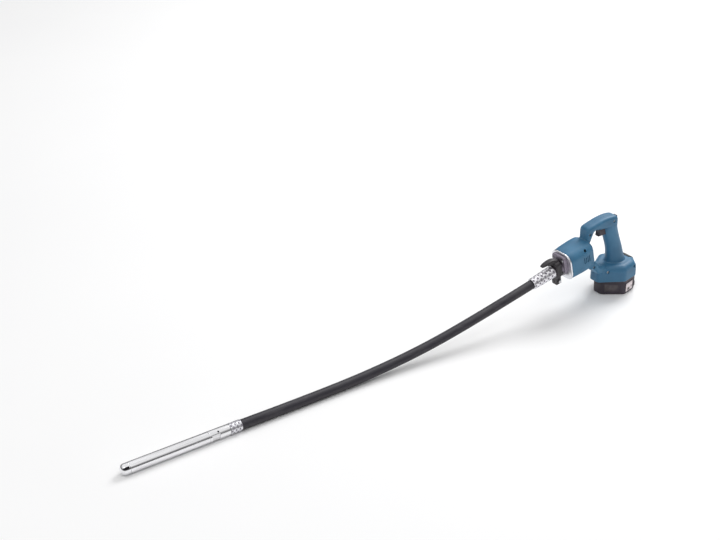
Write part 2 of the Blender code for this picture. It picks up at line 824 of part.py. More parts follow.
def build_casing():
    outer = casing_form("casing_outer", 0.0)
    hollow = place("casing_hollow", casing_form("casing_hollow", WALL), None)
    slot = block(
        "trigger_slot", (-50, -7.4, 156.1), (-27, 7.4, WINDOW_TOP - 0.6), collection=CUTTERS
    )
    button_hole = rod(
        "lock_button_hole", lock_button_at(20), lock_button_at(10), 4.0, segments=16
    )
    bumper_seat = block("bumper_seat", (-10.3, -6.3, 183.7), (5, 6.3, 197.3), collection=CUTTERS)
    foot_seat = foot_bumper_form("foot_bumper_seat", GAP, 5.0)
    bosses = []
    for side in (-1, 1):
        for x, z, half_width in CASING_SCREWS:
            bosses.append(((x, GAP * side, z), (x, (half_width - 0.5) * side, z), 4.2))
    boss_mesh = many_rods("screw_bosses", bosses, 8)
    counterbores = []
    pilots = []
    for x, z, half_width in CASING_SCREWS:
        counterbores.append(((x, -60, z), (x, -half_width + 3, z), 3.6))
        pilots.append(((x, -half_width, z), (x, half_width * 0.55, z), 1.9))
    counterbore_mesh = many_rods("screw_counterbores", counterbores, 12)
    pilot_mesh = many_rods("screw_pilots", pilots, 8)
    for name, low, high in (("housing_left", -GAP / 2, 120), ("housing_right", -120, GAP / 2)):
        half = place(name, outer.copy(), TEAL_PLASTIC)
        boolean(half, hollow)
        boolean(half, boss_mesh, "UNION")
        other_side = block(f"{name}_trim", (-300, low, -20), (120, high, 300), collection=CUTTERS)
        boolean(half, other_side)
        boolean(half, slot)
        boolean(half, bumper_seat)
        boolean(half, foot_seat)
        boolean(half, pilot_mesh)
        openings = counterbore_mesh if name == "housing_left" else button_hole
        boolean(half, openings)
    for i, (x, z, half_width) in enumerate(CASING_SCREWS):
        screw = rod(
            f"housing_screw_{i + 1}",
            (x, -half_width + 1, z),
            (x, half_width * 0.5, z),
            1.6,
            BRUSHED_STEEL,
            segments=12,
        )
        head = rod(
            f"housing_screw_head_{i + 1}",
            (x, -half_width + 0.4, z),
            (x, -half_width + 2.7, z),
            3.2,
            segments=16,
        )
        boolean(screw, head, "UNION")


# ---- the motor and its spindle ----


def arc_outline(inner, outer, middle, spread, steps=10):
    """The outline of a curved magnet, seen along the motor's axis."""
    angles = [middle - spread / 2 + spread * i / steps for i in range(steps + 1)]
    outside = [Vector((outer * cos(a), outer * sin(a))) for a in angles]
    inside = [Vector((inner * cos(a), inner * sin(a))) for a in reversed(angles)]
    return outside + inside


def fan_outline(blades, hub, reach):
    points = []
    for i in range(blades):
        start = 2 * pi * i / blades
        step = 2 * pi / blades
        for part, radius in ((0.0, hub), (0.28, reach), (0.52, reach), (0.62, hub)):
            angle = start + part * step
            points.append(Vector((radius * cos(angle), radius * sin(angle))))
    return points


def build_motor():
    inner = MOTOR_RADIUS - 2
    turned(
        "motor_can",
        [
            (inner, MOTOR_REAR),
            (MOTOR_RADIUS, MOTOR_REAR),
            (MOTOR_RADIUS, MOTOR_FRONT),
            (6.5, MOTOR_FRONT),
            (6.5, MOTOR_FRONT + 2),
            (inner, MOTOR_FRONT + 2),
        ],
        BRUSHED_STEEL,
        DRIVE_LINE,
        steps=32,
    )
    for name, middle in (("motor_magnet_left", -pi / 2), ("motor_magnet_right", pi / 2)):
        outline = arc_outline(17.0, inner - GAP, middle, radians(130))
        rings = [
            section(outline, on_drive_line(s), UPWARDS, SIDEWAYS)
            for s in (MOTOR_FRONT + 4, MOTOR_REAR - 11)
        ]
        loft(name, rings, FERRITE)
    bore = MOTOR_SHAFT + GAP
    ring("armature_core", 16.4, bore, MOTOR_FRONT + 6, MOTOR_REAR - 13, BRUSHED_STEEL, DRIVE_LINE, 28)
    ring("commutator", 8, bore, MOTOR_REAR - 10, MOTOR_REAR - 2, COPPER, DRIVE_LINE, 24)
    blades = [section(fan_outline(9, 9, 19), on_drive_line(s), UPWARDS, SIDEWAYS) for s in (5, 10)]
    fan = loft("cooling_fan", blades, DARK_PLASTIC)
    boolean(fan, rod("fan_bore", on_drive_line(0), on_drive_line(14), bore, segments=20))
    turned(
        "end_bell",
        [
            (0, BARREL_END - WALL - 2),
            (MOTOR_RADIUS, BARREL_END - WALL - 2),
            (MOTOR_RADIUS, MOTOR_REAR + GAP),
            (9.3, MOTOR_REAR + GAP),
            (9.3, BARREL_END - WALL - 4),
            (0, BARREL_END - WALL - 4),
        ],
        DARK_PLASTIC,
        DRIVE_LINE,
        steps=28,
    )
    ring("motor_bearing", 9, bore, MOTOR_REAR + 0.5, MOTOR_REAR + 6, BRUSHED_STEEL, DRIVE_LINE, 24)
    rod(
        "armature_shaft",
        on_drive_line(3),
        on_drive_line(MOTOR_REAR + 6.2),
        MOTOR_SHAFT,
        BRUSHED_STEEL,
        segments=20,
    )
    spindle = rod(
        "drive_spindle", on_drive_line(-38), on_drive_line(2.5), SPINDLE, BRUSHED_STEEL, segments=24
    )
    socket = block(
        "spindle_socket", (-1.8, -1.8, -42), (1.8, 1.8, -30), frame=DRIVE_LINE, collection=CUTTERS
    )
    boolean(spindle, socket)
    for name, side in (("carbon_brush_left", -1), ("carbon_brush_right", 1)):
        near, far = 8.4 * side, 16.0 * side
        block(
            name,
            (-3, min(near, far), MOTOR_REAR - 9),
            (3, max(near, far), MOTOR_REAR - 3),
            CARBON,
            DRIVE_LINE,
        )


# ---- the handle's switch gear ----


def lock_button_at(y):
    return Vector((LOCK_BUTTON_X, y, LOCK_BUTTON_Z))


def trigger_line(x):
    return Vector((x, 0, TRIGGER_HEIGHT))


def build_controls():
    switch = block("switch_block", (-21.5, -8, 153), (-9.5, 8, 176.5), DARK_PLASTIC)
    boolean(switch, rod("plunger_hole", trigger_line(-24), trigger_line(-8), 2.9, segments=16))
    shape = block("trigger", (-60, -7, 156.5), (-31, 7, WINDOW_TOP - 1), DARK_PLASTIC, bevel=2.5)
    dish_middle = trigger_line(-76.5)
    dish = rod(
        "trigger_dish", dish_middle - SIDEWAYS * 12, dish_middle + SIDEWAYS * 12, 18.5, segments=40
    )
    boolean(shape, dish)
    plunger = rod("trigger_plunger", trigger_line(-33), trigger_line(-16), 2.5, segments=16)
    boolean(shape, plunger, "UNION")
    button = rod(
        "lock_button", lock_button_at(12.6), lock_button_at(18.9), 3.7, DARK_PLASTIC, segments=16
    )
    collar = rod("lock_button_collar", lock_button_at(11.4), lock_button_at(12.9), 4.9, segments=16)
    boolean(button, collar, "UNION")
    block("rear_bumper", (-10, -6, 184), (-2.5, 6, 197), DARK_PLASTIC, bevel=1.5)
    foot_bumper_form("foot_bumper").data.materials.append(BLACK_RUBBER)
    block("terminal_block", (-11, -8.5, 88.6), (14, 8.5, 99), DARK_PLASTIC)


# ---- the battery ----


def side_of_battery(x):
    """How far the battery's long side stands from the middle plane."""
    (x0, y0), (x1, y1) = BATTERY_CORNERS[1], BATTERY_CORNERS[2]
    return y0 + (y1 - y0) * (x - x0) / (x1 - x0)


def build_battery():
    levels = [(0, 0.94), (1.2, 0.962), (6, 0.972), (BATTERY_HEIGHT, 0.982)]
    case = loft(
        "battery_case",
        [plan(BATTERY_CORNERS, size, z, PLAN_RADII) for z, size in levels],
        DARK_PLASTIC,
    )
    tray_levels = (2.5, BATTERY_HEIGHT + 5)
    tray = loft("battery_tray", [plan(BATTERY_CORNERS, 0.91, z, PLAN_RADII) for z in tray_levels])
    boolean(case, tray)
    lid_levels = [(31, 0.9), (56, 0.88), (58.5, 0.84)]
    lid = loft(
        "battery_cover",
        [plan(BATTERY_CORNERS, size, z, PLAN_RADII) for z, size in lid_levels],
        DARK_PLASTIC,
    )
    stem = [
        section(rectangle(15 - taper, 11 - taper, 4, 3), Vector((2, 0, z)), Vector((1, 0, 0)), SIDEWAYS)
        for z, taper in ((54, 0), (STEM_TOP - 1, 0.4), (STEM_TOP, 1.2))
    ]
    boolean(lid, loft("battery_stem", stem), "UNION")
    under = loft("cover_hollow", [plan(BATTERY_CORNERS, 0.84, z, PLAN_RADII) for z in (25, 55)])
    boolean(lid, under)
    build_cells()
    for name, x in (("battery_terminal_plus", 8), ("battery_terminal_minus", -4)):
        low = (x - 3, -5, STEM_TOP + GAP)
        high = (x + 3, 5, STEM_TOP + 1.7)
        block(name, low, high, COPPER)
    for name, side in (("release_button_left", -1), ("release_button_right", 1)):
        hole = button_form(f"{name}_hole", side, 0.5, 31.5, 6.0)
        boolean(case, hole)
        button_form(name, side, 0.0, 34.5, 1.4).data.materials.append(DARK_PLASTIC)
    build_label()


def build_cells():
    """Twelve round cells under one plate, with all their ends joined to it."""
    columns = [-19.5, -2.2, 15.2, 32.6]
    places = [(x, y) for x in columns for y in (-8.7, 8.7)]
    places += [(x, y) for x in columns[1:3] for y in (-26.0, 26.0)]
    plate_outlines = [plan(BATTERY_CORNERS, 0.8, z, PLAN_RADII) for z in (47.5, 50)]
    plate = loft("cell_pack", plate_outlines, CELL_SLEEVE)
    bars = [((x, y, 5), (x, y, 48), CELL_RADIUS) for x, y in places]
    boolean(plate, many_rods("cells", bars, segments=12), "UNION")


def button_form(name, side, grow, inner, stand):
    """A rounded block that follows the battery's side wall and stands proud of it."""
    outline = rectangle(4 + grow, 7 + grow, 2.5, 3)
    inside = []
    outside = []
    for point in outline:
        x = BUTTON_X + point.x
        inside.append(Vector((x, inner * side, 16.5 + point.y)))
        outside.append(Vector((x, (side_of_battery(x) + stand) * side, 16.5 + point.y)))
    return loft(name, [inside, outside])


def build_label():
    """A blank film on the side of the battery."""
    outline = rectangle(14, 10.3, 2, 3)
    rings = []
    for lift in (0.1, 0.6):
        points = []
        for point in outline:
            x = LABEL_X + point.x
            points.append(Vector((x, -side_of_battery(x) - lift, 17 + point.y)))
        rings.append(points)
    loft("battery_label", rings, LABEL_FILM)


build_head()
build_hose()
build_nose()
build_casing()
build_motor()
build_controls()
build_battery()
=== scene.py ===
# %% [markdown]
# # A cordless concrete vibrator
# A poker vibrator shakes wet concrete so that it settles round the steel. This one has a D-handled
# power unit that stands on its battery, a stiff rubber hose with a spinning core, and a slim steel
# head that is pushed into the concrete. The solid model gives every size and every moving body.
# Here each surface gets its fine shape and its finish, and rides on the body that moves it.

# %% The solid model, loaded as a fixed frame
import json
import math
from math import cos, pi, radians, sin

import bmesh
import bpy
from mathutils import Matrix, Vector


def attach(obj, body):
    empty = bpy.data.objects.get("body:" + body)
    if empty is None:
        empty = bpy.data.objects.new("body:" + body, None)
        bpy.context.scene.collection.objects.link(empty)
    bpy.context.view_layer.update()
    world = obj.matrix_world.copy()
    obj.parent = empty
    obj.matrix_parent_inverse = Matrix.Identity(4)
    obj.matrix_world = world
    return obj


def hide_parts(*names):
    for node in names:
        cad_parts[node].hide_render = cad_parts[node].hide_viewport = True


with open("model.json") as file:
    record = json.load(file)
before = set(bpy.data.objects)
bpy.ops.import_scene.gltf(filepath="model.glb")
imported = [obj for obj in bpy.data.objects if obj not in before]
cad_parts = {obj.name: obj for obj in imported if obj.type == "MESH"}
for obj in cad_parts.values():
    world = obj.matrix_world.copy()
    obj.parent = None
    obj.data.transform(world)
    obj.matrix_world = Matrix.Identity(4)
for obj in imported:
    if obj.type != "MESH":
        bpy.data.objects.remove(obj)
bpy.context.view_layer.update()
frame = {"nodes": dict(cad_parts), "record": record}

# %% [markdown]
# ## The camera
# The camera comes first, because a cord may not spread outside what it sees. It stands a little to
# the left of the head, about thirty degrees up, with a long lens, so that the hose runs away from
# the viewer to the power unit and nothing is bent by perspective.

# %% The camera
def put_in_scene(name, data):
    thing = bpy.data.objects.new(name, data)
    bpy.context.scene.collection.objects.link(thing)
    return thing


camera = put_in_scene("camera", bpy.data.cameras.new("camera"))
camera.location = (-2.46419, -2.33786, 1.78850)
camera.rotation_euler = (radians(62.4822), 0.0, radians(-36.2161))
camera.data.lens = 78.2
camera.data.sensor_width = 36.0
camera.data.clip_end = 60.0
bpy.context.scene.camera = camera
print("camera lens", camera.data.lens, "mm")

# %% [markdown]
# ## Two lines that everything sits on
# The motor, its gear nose and the rear ferrule share one line that tips up by 12.5 degrees towards
# the back. The head has its own line, level with the ground. Lengths below are millimetres, and a
# place on the motor's line is given as a distance rearwards from the flange, a height above the
# line and a distance to the side.

# %% The drive line and the head line
MM = 0.001
TILT = radians(12.5)
FLANGE = Vector((-164.0, 0.0, 111.7))
REARWARDS = Vector((cos(TILT), 0.0, sin(TILT)))
UPWARDS = Vector((-sin(TILT), 0.0, cos(TILT)))
SIDEWAYS = Vector((0.0, 1.0, 0.0))
LENGTHWAYS = Vector((1.0, 0.0, 0.0))
UPRIGHT = Vector((0.0, 0.0, 1.0))
HEAD_TIP = Vector((-1338.0, 0.0, 12.5))


def drive(s, up=0.0, side=0.0):
    return FLANGE + REARWARDS * s + UPWARDS * up + SIDEWAYS * side


print("ferrule mouth at", [round(v, 1) for v in drive(-100)])

# %% [markdown]
# ## Shader sums in plain Python
# Most of a finish is arithmetic on patterns: a bit more roughness here, a little less colour there.
# Wiring Math nodes by hand hides that arithmetic, so a small class wraps a socket and turns +, -
# and * into nodes. A Graph adds any other node from its type, and a Finish is the graph of one
# material, with the patterns that the finishes below share.

# %% A socket that can be used in sums
class Value:
    """A number that changes over a surface."""

    def __init__(self, graph, socket):
        self.graph = graph
        self.socket = socket

    def sum(self, operation, first, second=0.0):
        node = self.graph.node("ShaderNodeMath", {"operation": operation}, [first, second])
        return Value(self.graph, node.outputs[0])

    def __add__(self, other):
        return self.sum("ADD", self, other)

    def __radd__(self, other):
        return self.sum("ADD", other, self)

    def __sub__(self, other):
        return self.sum("SUBTRACT", self, other)

    def __rsub__(self, other):
        return self.sum("SUBTRACT", other, self)

    def __mul__(self, other):
        return self.sum("MULTIPLY", self, other)

    def __rmul__(self, other):
        return self.sum("MULTIPLY", other, self)

    def __pow__(self, other):
        return self.sum("POWER", self, other)

    def __abs__(self):
        return self.sum("ABSOLUTE", self)

    def between(self, low, high):
        """0 below low and 1 above high, with a soft step between them."""
        settings = {"interpolation_type": "SMOOTHSTEP"}
        inputs = {"Value": self, "From Min": low, "From Max": high}
        node = self.graph.node("ShaderNodeMapRange", settings, inputs)
        return Value(self.graph, node.outputs["Result"])


# %% A graph of nodes, and a material that grows from it
class Graph:
    """The nodes of a material or a world."""

    def __init__(self, tree):
        self.tree = tree

    def node(self, kind, settings=None, inputs=None):
        """Adds a node: its settings first, and then the values or links of its sockets."""
        node = self.tree.nodes.new(kind)
        for setting, choice in (settings or {}).items():
            setattr(node, setting, choice)
        pairs = inputs.items() if isinstance(inputs, dict) else enumerate(inputs or [])
        for socket, given in pairs:
            self.feed(node.inputs[socket], given)
        return node

    def feed(self, socket, given):
        source = getattr(given, "socket", given)
        if isinstance(source, bpy.types.NodeSocket):
            self.tree.links.new(source, socket)
        elif socket.type == "RGBA":
            socket.default_value = (*source, 1.0)
        else:
            socket.default_value = source


class Finish(Graph):
    """A material, and the patterns that feed its shader."""

    def __init__(self, name):
        self.material = bpy.data.materials.new(name)
        self.material.use_nodes = True
        super().__init__(self.material.node_tree)
        self.shader = self.tree.nodes["Principled BSDF"]

    def set(self, **inputs):
        for socket, given in inputs.items():
            self.feed(self.shader.inputs[socket.replace("_", " ").title()], given)
        return self.material

    def place(self, stretch=(1.0, 1.0, 1.0)):
        """The point on the piece, in metres, stretched along the axes for a pattern."""
        point = self.node("ShaderNodeTexCoord").outputs["Object"]
        node = self.node("ShaderNodeVectorMath", {"operation": "MULTIPLY"}, [point, stretch])
        return node.outputs["Vector"]

    def noise(self, scale, detail=3.0, rough=0.55, stretch=(1.0, 1.0, 1.0)):
        inputs = {"Scale": scale, "Detail": detail, "Roughness": rough}
        inputs["Vector"] = self.place(stretch)
        return Value(self, self.node("ShaderNodeTexNoise", {}, inputs).outputs["Fac"])

    def cells(self, scale):
        inputs = {"Vector": self.place(), "Scale": scale}
        node = self.node("ShaderNodeTexVoronoi", {"feature": "F1"}, inputs)
        return Value(self, node.outputs["Distance"])

    def axis(self, letter):
        """One coordinate of the point on the piece."""
        node = self.node("ShaderNodeSeparateXYZ", {}, [self.place()])
        return Value(self, node.outputs[letter])

    def millimetres_from(self, origin):
        """All three coordinates, counted in millimetres from an origin."""
        return [self.axis(letter) * 1000.0 - start for letter, start in zip("XYZ", origin)]

    def edges(self):
        """Near 1 on outer edges and near 0 in creases."""
        return Value(self, self.node("ShaderNodeNewGeometry").outputs["Pointiness"])

    def blend(self, amount, first, second):
        node = self.node("ShaderNodeMix", {"data_type": "RGBA"})
        self.feed(node.inputs["Factor"], amount)
        self.feed(node.inputs[6], first)
        self.feed(node.inputs[7], second)
        return node.outputs[2]

    def bump(self, height, distance, strength):
        inputs = {"Strength": strength, "Distance": distance, "Height": height}
        return self.node("ShaderNodeBump", {}, inputs).outputs["Normal"]


print("shader helpers ready")

# %% [markdown]
# ## Moulded teal plastic
# The casing is glass-filled nylon. A fine spark-eroded grain in the mould takes the shine off it,
# the colour drifts a little where the melt flowed, pale cement dust settles in creases, and the
# outer edges are rubbed lighter and smoother. Grain is bump, while dust and rubbing are colour. The
# battery and the trigger are the same plastic in near black.

# %% The two plastics
def moulded(name, deep, light, rubbed, dust, gloss):
    """Grained plastic with dusty creases and rubbed edges."""
    finish = Finish(name)
    drift = finish.noise(14.0, 4.0)
    colour = finish.blend(drift.between(0.35, 0.68), deep, light)
    corner = finish.edges().between(0.515, 0.56) * finish.noise(90.0, 3.0).between(0.35, 0.7)
    colour = finish.blend(corner * 0.45, colour, rubbed)
    crease = (1.0 - finish.edges().between(0.44, 0.492)) * finish.noise(45.0, 5.0).between(0.3, 0.7)
    colour = finish.blend(crease * 0.5, colour, dust)
    specks = finish.cells(420.0).between(0.03, 0.075)
    colour = finish.blend((1.0 - specks) * drift.between(0.5, 0.75) * 0.3, colour, dust)
    fine = finish.noise(2600.0, 2.0, 0.6)
    wide = finish.noise(260.0, 2.0)
    return finish.set(
        base_color=colour,
        roughness=gloss + 0.16 * drift + 0.12 * crease - 0.1 * corner,
        normal=finish.bump(fine + 0.6 * wide, 0.000035, 0.5),
    )


teal_plastic = moulded(
    "teal_plastic", deep=(0.03, 0.134, 0.248), light=(0.05, 0.188, 0.33),
    rubbed=(0.13, 0.3, 0.44), dust=(0.3, 0.35, 0.4), gloss=0.42,
)
dark_plastic = moulded(
    "dark_plastic", deep=(0.024, 0.016, 0.026), light=(0.043, 0.031, 0.048),
    rubbed=(0.1, 0.09, 0.095), dust=(0.2, 0.18, 0.17), gloss=0.38,
)
print("plastics:", teal_plastic.name, dark_plastic.name)

# %% [markdown]
# ## Rubber hose
# The hose is a moulded rubber tube over a steel liner. It was cured under a wound cloth tape, which
# leaves faint rings a few millimetres apart. It is dull and near black, with scuffs that run along
# it, and a little dust on the end that doesn't lie on the ground.

# %% The hose's rubber
def hose_rubber():
    finish = Finish("hose_rubber")
    rings = finish.node(
        "ShaderNodeTexWave",
        {"wave_type": "BANDS", "bands_direction": "X"},
        {"Vector": finish.place(), "Scale": 62.0, "Distortion": 0.6, "Detail": 1.0},
    )
    rings = Value(finish, rings.outputs["Fac"])
    cloud = finish.noise(30.0, 5.0)
    scuffs = finish.noise(70.0, 4.0, 0.6, (0.25, 1.0, 1.0)).between(0.55, 0.75)
    colour = finish.blend(cloud, (0.012, 0.0105, 0.016), (0.028, 0.0245, 0.036))
    colour = finish.blend(scuffs * 0.35, colour, (0.085, 0.08, 0.088))
    raised_end = finish.axis("X").between(-1.12, -0.6)
    dusty = finish.noise(9.0, 3.0).between(0.45, 0.7) * raised_end
    colour = finish.blend(dusty * 0.07, colour, (0.25, 0.24, 0.23))
    return finish.set(
        base_color=colour,
        roughness=0.42 + 0.2 * cloud,
        normal=finish.bump(rings * 0.8 + finish.noise(900.0, 2.0) * 0.5, 0.00012, 0.6),
    )


rubber = hose_rubber()
print("rubber:", rubber.name)

# %% [markdown]
# ## Steel and light metal
# The head is ground and polished along its length and then scoured by gravel, so fine scratches run
# lengthways and a few smears stay dull. The ferrules are rolled aluminium, the bearing box is a
# dark grey die casting with an orange-peel skin, and the clamp is black paint that has worn through
# to steel on its edges. One function covers bright metal, because only the colour, the scratch
# direction and the dullness differ.

# %% Bright metals
STEEL = {"colour": (0.95, 0.95, 0.97), "scratch": 0.00002, "stretch": (0.06, 1.0, 1.0)}
ALUMINIUM = {"dull": 0.24, "stretch": (1.0, 0.2, 0.2), "smear": 0.2}
PALE_ALUMINIUM = (0.84, 0.84, 0.88)
# Real smears and the painted shade in creases share this colour.
GRIME_AND_SHADE = (0.2, 0.19, 0.18)


def bright_metal(name, colour, dull, stretch, scratch=0.00003, smear=0.35, shaded_hollows=None, shade_colour=None):
    """Ground metal, its creases painted darker as shade. A mask may paint shade into hollows."""
    finish = Finish(name)
    lines = finish.noise(160.0, 4.0, 0.7, stretch)
    darker = tuple(part * 0.82 for part in colour)
    shade = finish.blend(lines.between(0.3, 0.7), darker, colour)
    film = finish.noise(38.0, 5.0).between(0.56, 0.78)
    crease = 1.0 - finish.edges().between(0.42, 0.49)
    shade = finish.blend(film * smear * 0.45, shade, GRIME_AND_SHADE)
    # Creases are painted darker as shade.
    shade = finish.blend(crease * 0.55, shade, GRIME_AND_SHADE)
    dull_now = dull + 0.14 * lines + smear * film + 0.2 * crease
    metallic = 1.0
    if shaded_hollows:
        # Hollows are painted dark as shade.
        painted_shade = shaded_hollows(finish)
        shade = finish.blend(painted_shade, shade, shade_colour or (0.2, 0.18, 0.22))
        dull_now = dull_now + 0.35 * painted_shade
        metallic = 1.0 - 0.8 * painted_shade
    bump = finish.bump(lines, scratch, 0.5)
    return finish.set(base_color=shade, roughness=dull_now, metallic=metallic, normal=bump)


polished_steel = bright_metal("polished_steel", dull=0.1, smear=0.16, **STEEL)
brushed_steel = bright_metal("brushed_steel", (0.6, 0.6, 0.62), 0.26, (1.0, 0.15, 1.0))
rolled_aluminium = bright_metal("rolled_aluminium", PALE_ALUMINIUM, **ALUMINIUM)
bare_copper = bright_metal("bare_copper", (0.76, 0.38, 0.22), 0.3, (1.0, 0.2, 1.0))
print("metals:", polished_steel.name, brushed_steel.name, rolled_aluminium.name, bare_copper.name)

# %% [markdown]
# ## Where shade is painted into bright metal
# Every hollow is painted dark as shade. Three places get it: the dents that a press leaves in the
# ferrules, in a chequer round and along them, the two slots in the nose, and the hole and the flats
# of the neck. Their shapes are known from how they are cut, so the painted shade comes from the
# same sums.

# %% Painted shade in the crimps, the nose's slots and the neck
JAWS = 6
REAR_CRIMP = {"start": -100.0, "end": -35.3, "pitch": 12.6, "depth": 0.9}
FRONT_CRIMP = {"start": 251.4, "end": 279.0, "pitch": 9.2, "depth": 0.55}
SLOT_RADIUS = 2.8
SLOT_LENGTH = 15.5
SLOT_MIDDLE = Vector((0.0, -0.8, 0.6)) * 11.6
FLAT_START = 206.0
FLAT_END = 225.0
HOLE_WAY = Vector((0.0, -0.6, 0.8))
HOLE_RADIUS = 1.9


def crimp_shade(origin, tilt, crimp):
    """Painted shade in the dents of a ferrule that lies along a line through the origin."""

    def painted_shade(finish):
        x, y, z = finish.millimetres_from(origin)
        along = x * cos(tilt) + z * sin(tilt)
        up = z * cos(tilt) - x * sin(tilt)
        turn = y.sum("ARCTAN2", up, y)
        wave = (along - crimp["start"]) * (2 * pi / crimp["pitch"])
        dent = wave.sum("SINE", wave) * turn.sum("COSINE", turn * JAWS)
        return dent.between(0.12, 0.5) * (0.75 + 0.25 * finish.noise(300.0))

    return painted_shade


def slot_shade(finish):
    """Painted shade in both slots of the nose."""
    x, y, z = finish.millimetres_from(HEAD_TIP)
    inside = 1.0 - x.between(SLOT_LENGTH, SLOT_LENGTH + 0.4)
    total = 0.0
    for side in (-1, 1):
        across = y - SLOT_MIDDLE.y * side
        upward = z - SLOT_MIDDLE.z * side
        distance = (across * across + upward * upward) ** 0.5
        total = total + inside * (1.0 - distance.between(SLOT_RADIUS, SLOT_RADIUS + 0.25))
    return total


def neck_shade(finish):
    """Painted shade in the neck's spanner hole and along the edges of its flats."""
    along, y, z = finish.millimetres_from(HEAD_TIP)
    across = along - (FLAT_END - 3)
    round_it = y * HOLE_WAY.z - z * HOLE_WAY.y
    distance = (across * across + round_it * round_it) ** 0.5
    above = (y * HOLE_WAY.y + z * HOLE_WAY.z).between(6.0, 6.5)
    hole = above * (1.0 - distance.between(HOLE_RADIUS + 0.05, HOLE_RADIUS + 0.3))
    height = abs(z)
    line = height.between(6.3, 6.8) * (1.0 - height.between(7.6, 8.1)) * abs(y).between(9.0, 9.5)
    flat_begins = along.between(FLAT_START, FLAT_START + 1)
    flat_ends = along.between(FLAT_END - 1, FLAT_END)
    return hole + line * flat_begins * (1.0 - flat_ends) * 0.75


# The ferrules' dents are painted dark as shade.
crimps = crimp_shade(FLANGE, TILT, REAR_CRIMP)
rear_crimped = bright_metal("rear_crimped", (0.93, 0.92, 0.96), shaded_hollows=crimps, **ALUMINIUM)
crimps = crimp_shade(HEAD_TIP, 0.0, FRONT_CRIMP)
front_crimped = bright_metal("front_crimped", PALE_ALUMINIUM, shaded_hollows=crimps, **ALUMINIUM)
# The nose's slots are painted near black as shade.
painted_shade = {"shaded_hollows": slot_shade, "shade_colour": (0.012, 0.01, 0.016)}
nose_steel = bright_metal("nose_steel", dull=0.1, smear=0.16, **STEEL, **painted_shade)
# The neck's hole and the edges of its flats are painted dark as shade.
painted_shade = {"shaded_hollows": neck_shade, "shade_colour": (0.02, 0.018, 0.025)}
neck_steel = bright_metal("neck_steel", dull=0.12, smear=0.2, **STEEL, **painted_shade)
print("shaded metals:", rear_crimped.name, front_crimped.name, nose_steel.name, neck_steel.name)

# %% Cast metal and worn black paint
def cast_grey():
    finish = Finish("cast_metal")
    patch = finish.noise(32.0, 4.0)
    colour = finish.blend(patch, (0.215, 0.188, 0.235), (0.37, 0.335, 0.4))
    bright = finish.edges().between(0.52, 0.57)
    pebbles = finish.noise(420.0, 3.0) + 0.5 * finish.cells(700.0)
    return finish.set(
        base_color=finish.blend(bright * 0.7, colour, (0.5, 0.49, 0.5)),
        metallic=0.85,
        roughness=0.5 + 0.15 * patch - 0.18 * bright,
        normal=finish.bump(pebbles, 0.00009, 0.7),
    )


def worn_black():
    finish = Finish("black_paint")
    chips = finish.edges().between(0.54, 0.6) * finish.noise(140.0, 4.0).between(0.46, 0.6)
    patch = finish.noise(40.0, 4.0)
    colour = finish.blend(patch, (0.014, 0.012, 0.015), (0.034, 0.029, 0.034))
    return finish.set(
        base_color=finish.blend(chips, colour, (0.4, 0.39, 0.4)),
        metallic=chips * 0.9,
        roughness=0.36 + 0.18 * patch - 0.08 * chips,
        normal=finish.bump(finish.noise(520.0, 2.0) - 0.8 * chips, 0.00005, 0.6),
    )


cast_metal = cast_grey()
black_paint = worn_black()
print("castings:", cast_metal.name, black_paint.name)

# %% [markdown]
# ## The finishes that stay inside
# The motor, the cells and the bearings are only seen when the unit is taken apart, but each still
# gets its own surface: sintered magnets and carbon are speckled and dull, the cells wear a shiny
# sleeve, and the rubber lip seal is plain.

# %% Speckled dull solids and the cell sleeve
def speckled(name, dark, pale, dull, coarse):
    finish = Finish(name)
    grain = finish.cells(coarse)
    cloud = finish.noise(60.0, 4.0)
    return finish.set(
        base_color=finish.blend(grain * 0.7 + cloud * 0.3, dark, pale),
        roughness=dull + 0.15 * cloud,
        normal=finish.bump(grain, 0.00005, 0.6),
    )


carbon = speckled("carbon", (0.02, 0.02, 0.022), (0.07, 0.07, 0.072), 0.55, 1400.0)
ferrite = speckled("ferrite", (0.05, 0.05, 0.056), (0.13, 0.13, 0.14), 0.5, 1000.0)
seal_rubber = speckled("seal_rubber", (0.018, 0.018, 0.02), (0.04, 0.04, 0.042), 0.6, 1800.0)
cell_sleeve = speckled("cell_sleeve", (0.05, 0.2, 0.09), (0.09, 0.28, 0.14), 0.22, 240.0)
print("inner finishes ready")

# %% [markdown]
# ## The battery's film label
# A pale film covers most of the battery's side. Nothing is printed on it but two plain dark blocks
# and a thin line near its top, as the film on any pack may have, and it is stained by handling.

# %% The label's film
def label_print():
    finish = Finish("label_film")
    run = finish.axis("X")
    height = finish.axis("Z")

    def block(back, front, low, high, edge=0.0004):
        """1 inside a rectangle on the film, with soft edges."""
        inside = run.between(back, back + edge) * (1.0 - run.between(front - edge, front))
        return inside * height.between(low, low + edge) * (1.0 - height.between(high - edge, high))

    blocks = block(0.0102, 0.02, 0.0082, 0.0154) + block(0.0252, 0.0288, 0.0118, 0.0176)
    line = height.between(0.0246, 0.0249) * (1.0 - height.between(0.0254, 0.0257))
    stain = finish.noise(120.0, 5.0).between(0.5, 0.75)
    colour = finish.blend(finish.noise(40.0, 3.0), (0.8, 0.69, 0.71), (0.88, 0.79, 0.81))
    colour = finish.blend(line * 0.55, colour, (0.3, 0.22, 0.25))
    colour = finish.blend(blocks, colour, (0.03, 0.02, 0.025))
    return finish.set(
        base_color=finish.blend(stain * 0.3, colour, (0.5, 0.45, 0.42)),
        roughness=0.3 + 0.25 * stain,
        normal=finish.bump(finish.noise(500.0, 2.0), 0.00002, 0.4),
    )


